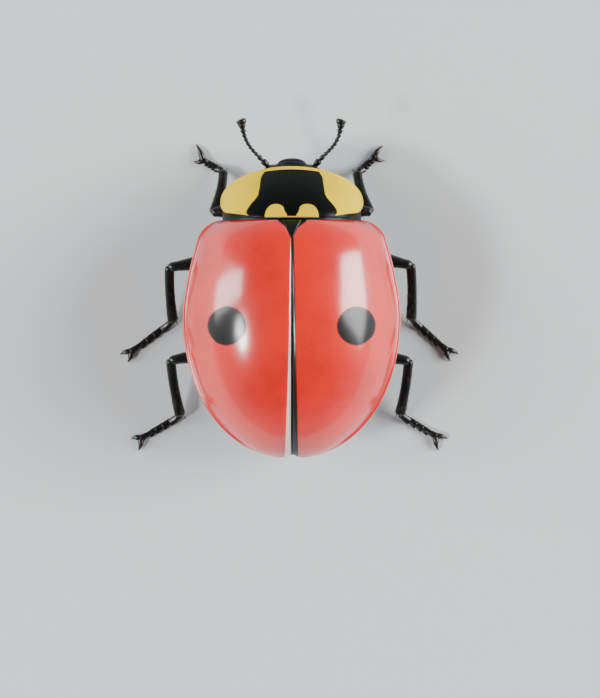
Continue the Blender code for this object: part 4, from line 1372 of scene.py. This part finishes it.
def build_foot(place, ankle, toe, claw_tips, side, seed):
    """Foot of lobed joints with brushes under them, a slender last joint and two toothed claws."""
    start = np.array((ankle[0] + 0.05 * side, ankle[1], FOOT_Z))
    heading = unit(toe - start)
    length = np.linalg.norm(toe - start)
    rearward = unit(np.array((-heading[1], heading[0], 0.0)))
    if rearward[1] < 0.0:
        rearward = -rearward
    foot = Bundle()
    steps = np.linspace(0.0, 1.0, 16)
    lobe = ease(0.1, 0.9, steps)
    for low, high, width in FOOT_JOINTS:
        path = bowed(start + heading * length * low, start + heading * length * high, len(steps))
        path = path + rearward * (LOBE_SHIFT * lobe - LOBE_BACK)[:, None]
        path[:, 2] = LOBE_Z + INSTEP_RISE * ease(0.25, -0.06, mix(low, high, steps))
        size = mix(0.78, 1.0, lobe)
        foot.limb(path, width * size, FOOT_DEPTH * size, FOOT_ROUND, heading, 1.3, sides=18, floor=0.0)
    path = bowed(start + heading * length * TOE_START, toe, 20, (0.0, 0.0, TOE_BOW))
    size = spread(TOE_WIDTHS, TOE_PLACES, len(path))
    foot.limb(path, size, size * 0.9, TOE_ROUND, heading, 0.5, sides=18, floor=0.0)
    add_leg_part(foot, "foot", "tarsus", place, seed)

    claws = Bundle()
    middle = np.mean(np.array(claw_tips), axis=0)
    root = toe - 0.03 * heading
    for tip in claw_tips:
        end = np.array((*tip, CLAW_Z))
        path = bowed(root, end, 18, CLAW_BOW * np.append(unit(np.array(tip) - middle), 1.0))
        size = spread(CLAW_WIDTHS, CLAW_PLACES, len(path))
        claws.skin(sweep(path, size, size, 14, floor=0.0), hairy=0.0)
        point = mix(root, end, 0.55) - np.array((0.0, 0.0, 0.02))
        claws.spike(mix(root, end, 0.25), point, TOOTH_WIDTH, TOOTH_TIP, 10, floor=0.0)
    dress(claws.piece(f"claws_{place}", claw_finish()), "legs")


# --- Floor, lights and camera ---

def add_light(name, place, size, power, roll=0.0):
    """Soft rectangular light that faces the beetle, with its width, its height and its roll in degrees."""
    data = bpy.data.lights.new(name, "AREA")
    data.shape = "RECTANGLE"
    data.size, data.size_y = size[0] * MM, size[1] * MM
    data.energy = power
    light = bpy.data.objects.new(name, data)
    light.location = Vector(place) * MM
    light.rotation_mode = "QUATERNION"
    turn = Quaternion((0.0, 0.0, 1.0), math.radians(roll))
    light.rotation_quaternion = (-Vector(place)).to_track_quat("-Z", "Y") @ turn
    bpy.context.scene.collection.objects.link(light)
    return light


def add_sky(strength):
    """Even pale light from all round, brighter low down and dimmer overhead."""
    world = bpy.data.worlds.new("Studio")
    world.use_nodes = True
    sky = Nodes(world.node_tree)
    height = sky.split(sky.add("ShaderNodeTexCoord").outputs["Generated"])[2]
    shade = sky.field("ShaderNodeMapRange", {"interpolation_type": "SMOOTHERSTEP"}, {
        "Value": height, "From Max": SKY_TOP, "To Min": strength * SKY_LOW, "To Max": strength * SKY_HIGH,
    })
    sky.feed(world.node_tree.nodes["Background"], {"Color": (*SKY_COLOR, 1.0), "Strength": shade})
    bpy.context.scene.world = world


def build_stage():
    """Plain pale floor, soft lights and the camera straight above."""
    chosen = settings()
    corners = [(x * FLOOR_HALF, y * FLOOR_HALF, 0.0) for x, y in ((-1, -1), (1, -1), (1, 1), (-1, 1))]
    floor = new_piece("floor", corners, [(0, 1, 2, 3)], floor_finish())
    for name, place, size, power, roll in LIGHTS:
        add_light(name, place, size, chosen.light_power * power, roll)
    add_sky(chosen.sky_strength)

    data = bpy.data.cameras.new("Camera")
    data.lens, data.sensor_width = LENS, SENSOR
    data.clip_start, data.clip_end = 0.001, 10.0
    camera = bpy.data.objects.new("Camera", data)
    camera.location = (chosen.view_x, chosen.view_y, LENS / SENSOR * chosen.view_height)
    camera.rotation_euler = (0.0, 0.0, math.pi)
    bpy.context.scene.collection.objects.link(camera)
    bpy.context.scene.camera = camera


# --- Panel, operators and properties ---

def color_setting(name, default, description):
    """Colour property."""
    return bpy.props.FloatVectorProperty(
        name=name, description=description, subtype="COLOR", size=3, min=0.0, max=1.0, default=default,
    )


def length_setting(name, default, description, **limits):
    """Length property, given in millimetres and kept in metres."""
    limits = {key: value * MM for key, value in limits.items()}
    return bpy.props.FloatProperty(
        name=name, description=description, unit="LENGTH", precision=6, default=default * MM, **limits,
    )


def factor_setting(name, default, description, low, high):
    """Property that makes something stronger or weaker."""
    return bpy.props.FloatProperty(
        name=name, description=description, subtype="FACTOR", default=default, min=low, max=high,
    )


class LadybirdSettings(bpy.types.PropertyGroup):
    """Sizes and colours that a user would change."""

    red: color_setting("Red", (0.95, 0.014, 0.008), "Colour of the wing cases")
    yellow: color_setting("Yellow", (1.0, 0.68, 0.0), "Colour of the pronotum")
    black: color_setting("Black", (0.004, 0.005, 0.004), "Colour of the spots, marks and limbs")
    # Colour of the painted highlight on the left wing case's seam edge
    bead_and_painted_highlight: color_setting("Painted seam highlight", (0.95, 0.92, 0.86), "Colour of the painted highlight on the left wing case's seam edge")
    floor: color_setting("Floor", (0.80, 0.86, 0.88), "Colour of the floor")
    spot_radius: length_setting("Spot radius", 0.355, "Radius of the black spots", min=0.05, max=0.8)
    spot_x: length_setting("Spot offset", 1.18, "Distance of the spots from the seam", min=0.3, max=1.6)
    spot_y: length_setting("Spot place", 0.708, "Place of the spots along the body", min=-1.0, max=2.5)
    bristle_amount: factor_setting("Bristles", 1.0, "How thickly the bristles grow", 0.1, 2.0)
    light_power: factor_setting("Light", 1.0, "Strength of all the lights", 0.0, 10.0)
    sky_strength: factor_setting("Sky", 0.16, "Strength of the even light from all round", 0.0, 5.0)
    view_x: length_setting("View across", -0.151, "Where the camera stands across the body")
    view_y: length_setting("View along", 1.131, "Where the camera stands along the body")
    view_height: length_setting("View height", 12.84, "Length of floor that the picture's height takes in")


class PieceOperator:
    """Shared by the operators: undoable, and shown in the panel."""

    bl_options = {"REGISTER", "UNDO"}


class LADYBIRD_OT_stage(PieceOperator, bpy.types.Operator):
    """Adds the floor, the lights and the camera"""

    bl_idname = "ladybird.stage"
    bl_label = "Stage"

    def execute(self, context):
        build_stage()
        return {"FINISHED"}


class LADYBIRD_OT_wing_cases(PieceOperator, bpy.types.Operator):
    """Adds both wing cases"""

    bl_idname = "ladybird.wing_cases"
    bl_label = "Wing cases"

    def execute(self, context):
        build_wing_case(1.0, "wing_case_left", "elytron_left")
        build_wing_case(-1.0, "wing_case_right", "elytron_right")
        return {"FINISHED"}


class LADYBIRD_OT_scutellum(PieceOperator, bpy.types.Operator):
    """Adds the scutellum between the wing cases"""

    bl_idname = "ladybird.scutellum"
    bl_label = "Scutellum"

    def execute(self, context):
        build_scutellum()
        return {"FINISHED"}


class LADYBIRD_OT_pronotum(PieceOperator, bpy.types.Operator):
    """Adds the pronotum"""

    bl_idname = "ladybird.pronotum"
    bl_label = "Pronotum"

    def execute(self, context):
        build_pronotum()
        return {"FINISHED"}


class LADYBIRD_OT_head(PieceOperator, bpy.types.Operator):
    """Adds the head, its eyes, jaws and palps"""

    bl_idname = "ladybird.head"
    bl_label = "Head"

    def execute(self, context):
        build_head()
        build_eye(1.0, "facets_left", "eye_left")
        build_eye(-1.0, "facets_right", "eye_right")
        build_mouth()
        build_palp(1.0, "hatchet_palp_left", "palp_left")
        build_palp(-1.0, "hatchet_palp_right", "palp_right")
        return {"FINISHED"}


class LADYBIRD_OT_feelers(PieceOperator, bpy.types.Operator):
    """Adds both feelers"""

    bl_idname = "ladybird.feelers"
    bl_label = "Feelers"

    def execute(self, context):
        for index, (side, points) in enumerate(FEELERS.items()):
            build_feeler(side, points, 20 + index)
        return {"FINISHED"}


class LADYBIRD_OT_underside(PieceOperator, bpy.types.Operator):
    """Adds the plates of the underside"""

    bl_idname = "ladybird.underside"
    bl_label = "Underside"

    def execute(self, context):
        build_chest()
        build_collar()
        build_thorax()
        build_lining()
        build_abdomen()
        return {"FINISHED"}


class LADYBIRD_OT_legs(PieceOperator, bpy.types.Operator):
    """Adds the six legs"""

    bl_idname = "ladybird.legs"
    bl_label = "Legs"

    def execute(self, context):
        for index, (place, plan) in enumerate(LEGS.items()):
            build_leg(place, plan, 50 + 10 * index)
        return {"FINISHED"}


OPERATORS = (
    LADYBIRD_OT_stage,
    LADYBIRD_OT_wing_cases,
    LADYBIRD_OT_scutellum,
    LADYBIRD_OT_pronotum,
    LADYBIRD_OT_head,
    LADYBIRD_OT_feelers,
    LADYBIRD_OT_underside,
    LADYBIRD_OT_legs,
)


class LADYBIRD_PT_panel(bpy.types.Panel):
    """Lists the pieces and the settings"""

    bl_label = "Ladybird"
    bl_space_type = "VIEW_3D"
    bl_region_type = "UI"
    bl_category = "Ladybird"

    def draw(self, context):
        for operator in OPERATORS:
            self.layout.operator(operator.bl_idname)
        for name in LadybirdSettings.__annotations__:
            self.layout.prop(context.scene.ladybird, name)


CLASSES = (LadybirdSettings, *OPERATORS, LADYBIRD_PT_panel)


def register():
    """Adds the classes and the scene's settings."""
    for item in CLASSES:
        bpy.utils.register_class(item)
    bpy.types.Scene.ladybird = bpy.props.PointerProperty(type=LadybirdSettings)


def unregister():
    """Takes them away again."""
    del bpy.types.Scene.ladybird
    for item in reversed(CLASSES):
        bpy.utils.unregister_class(item)


def main():
    """Builds the whole beetle, its floor, its lights and its camera."""
    register()
    bpy.ops.ladybird.stage()
    bpy.ops.ladybird.wing_cases()
    bpy.ops.ladybird.scutellum()
    bpy.ops.ladybird.pronotum()
    bpy.ops.ladybird.head()
    bpy.ops.ladybird.feelers()
    bpy.ops.ladybird.underside()
    bpy.ops.ladybird.legs()


if __name__ == "__main__":
    main()
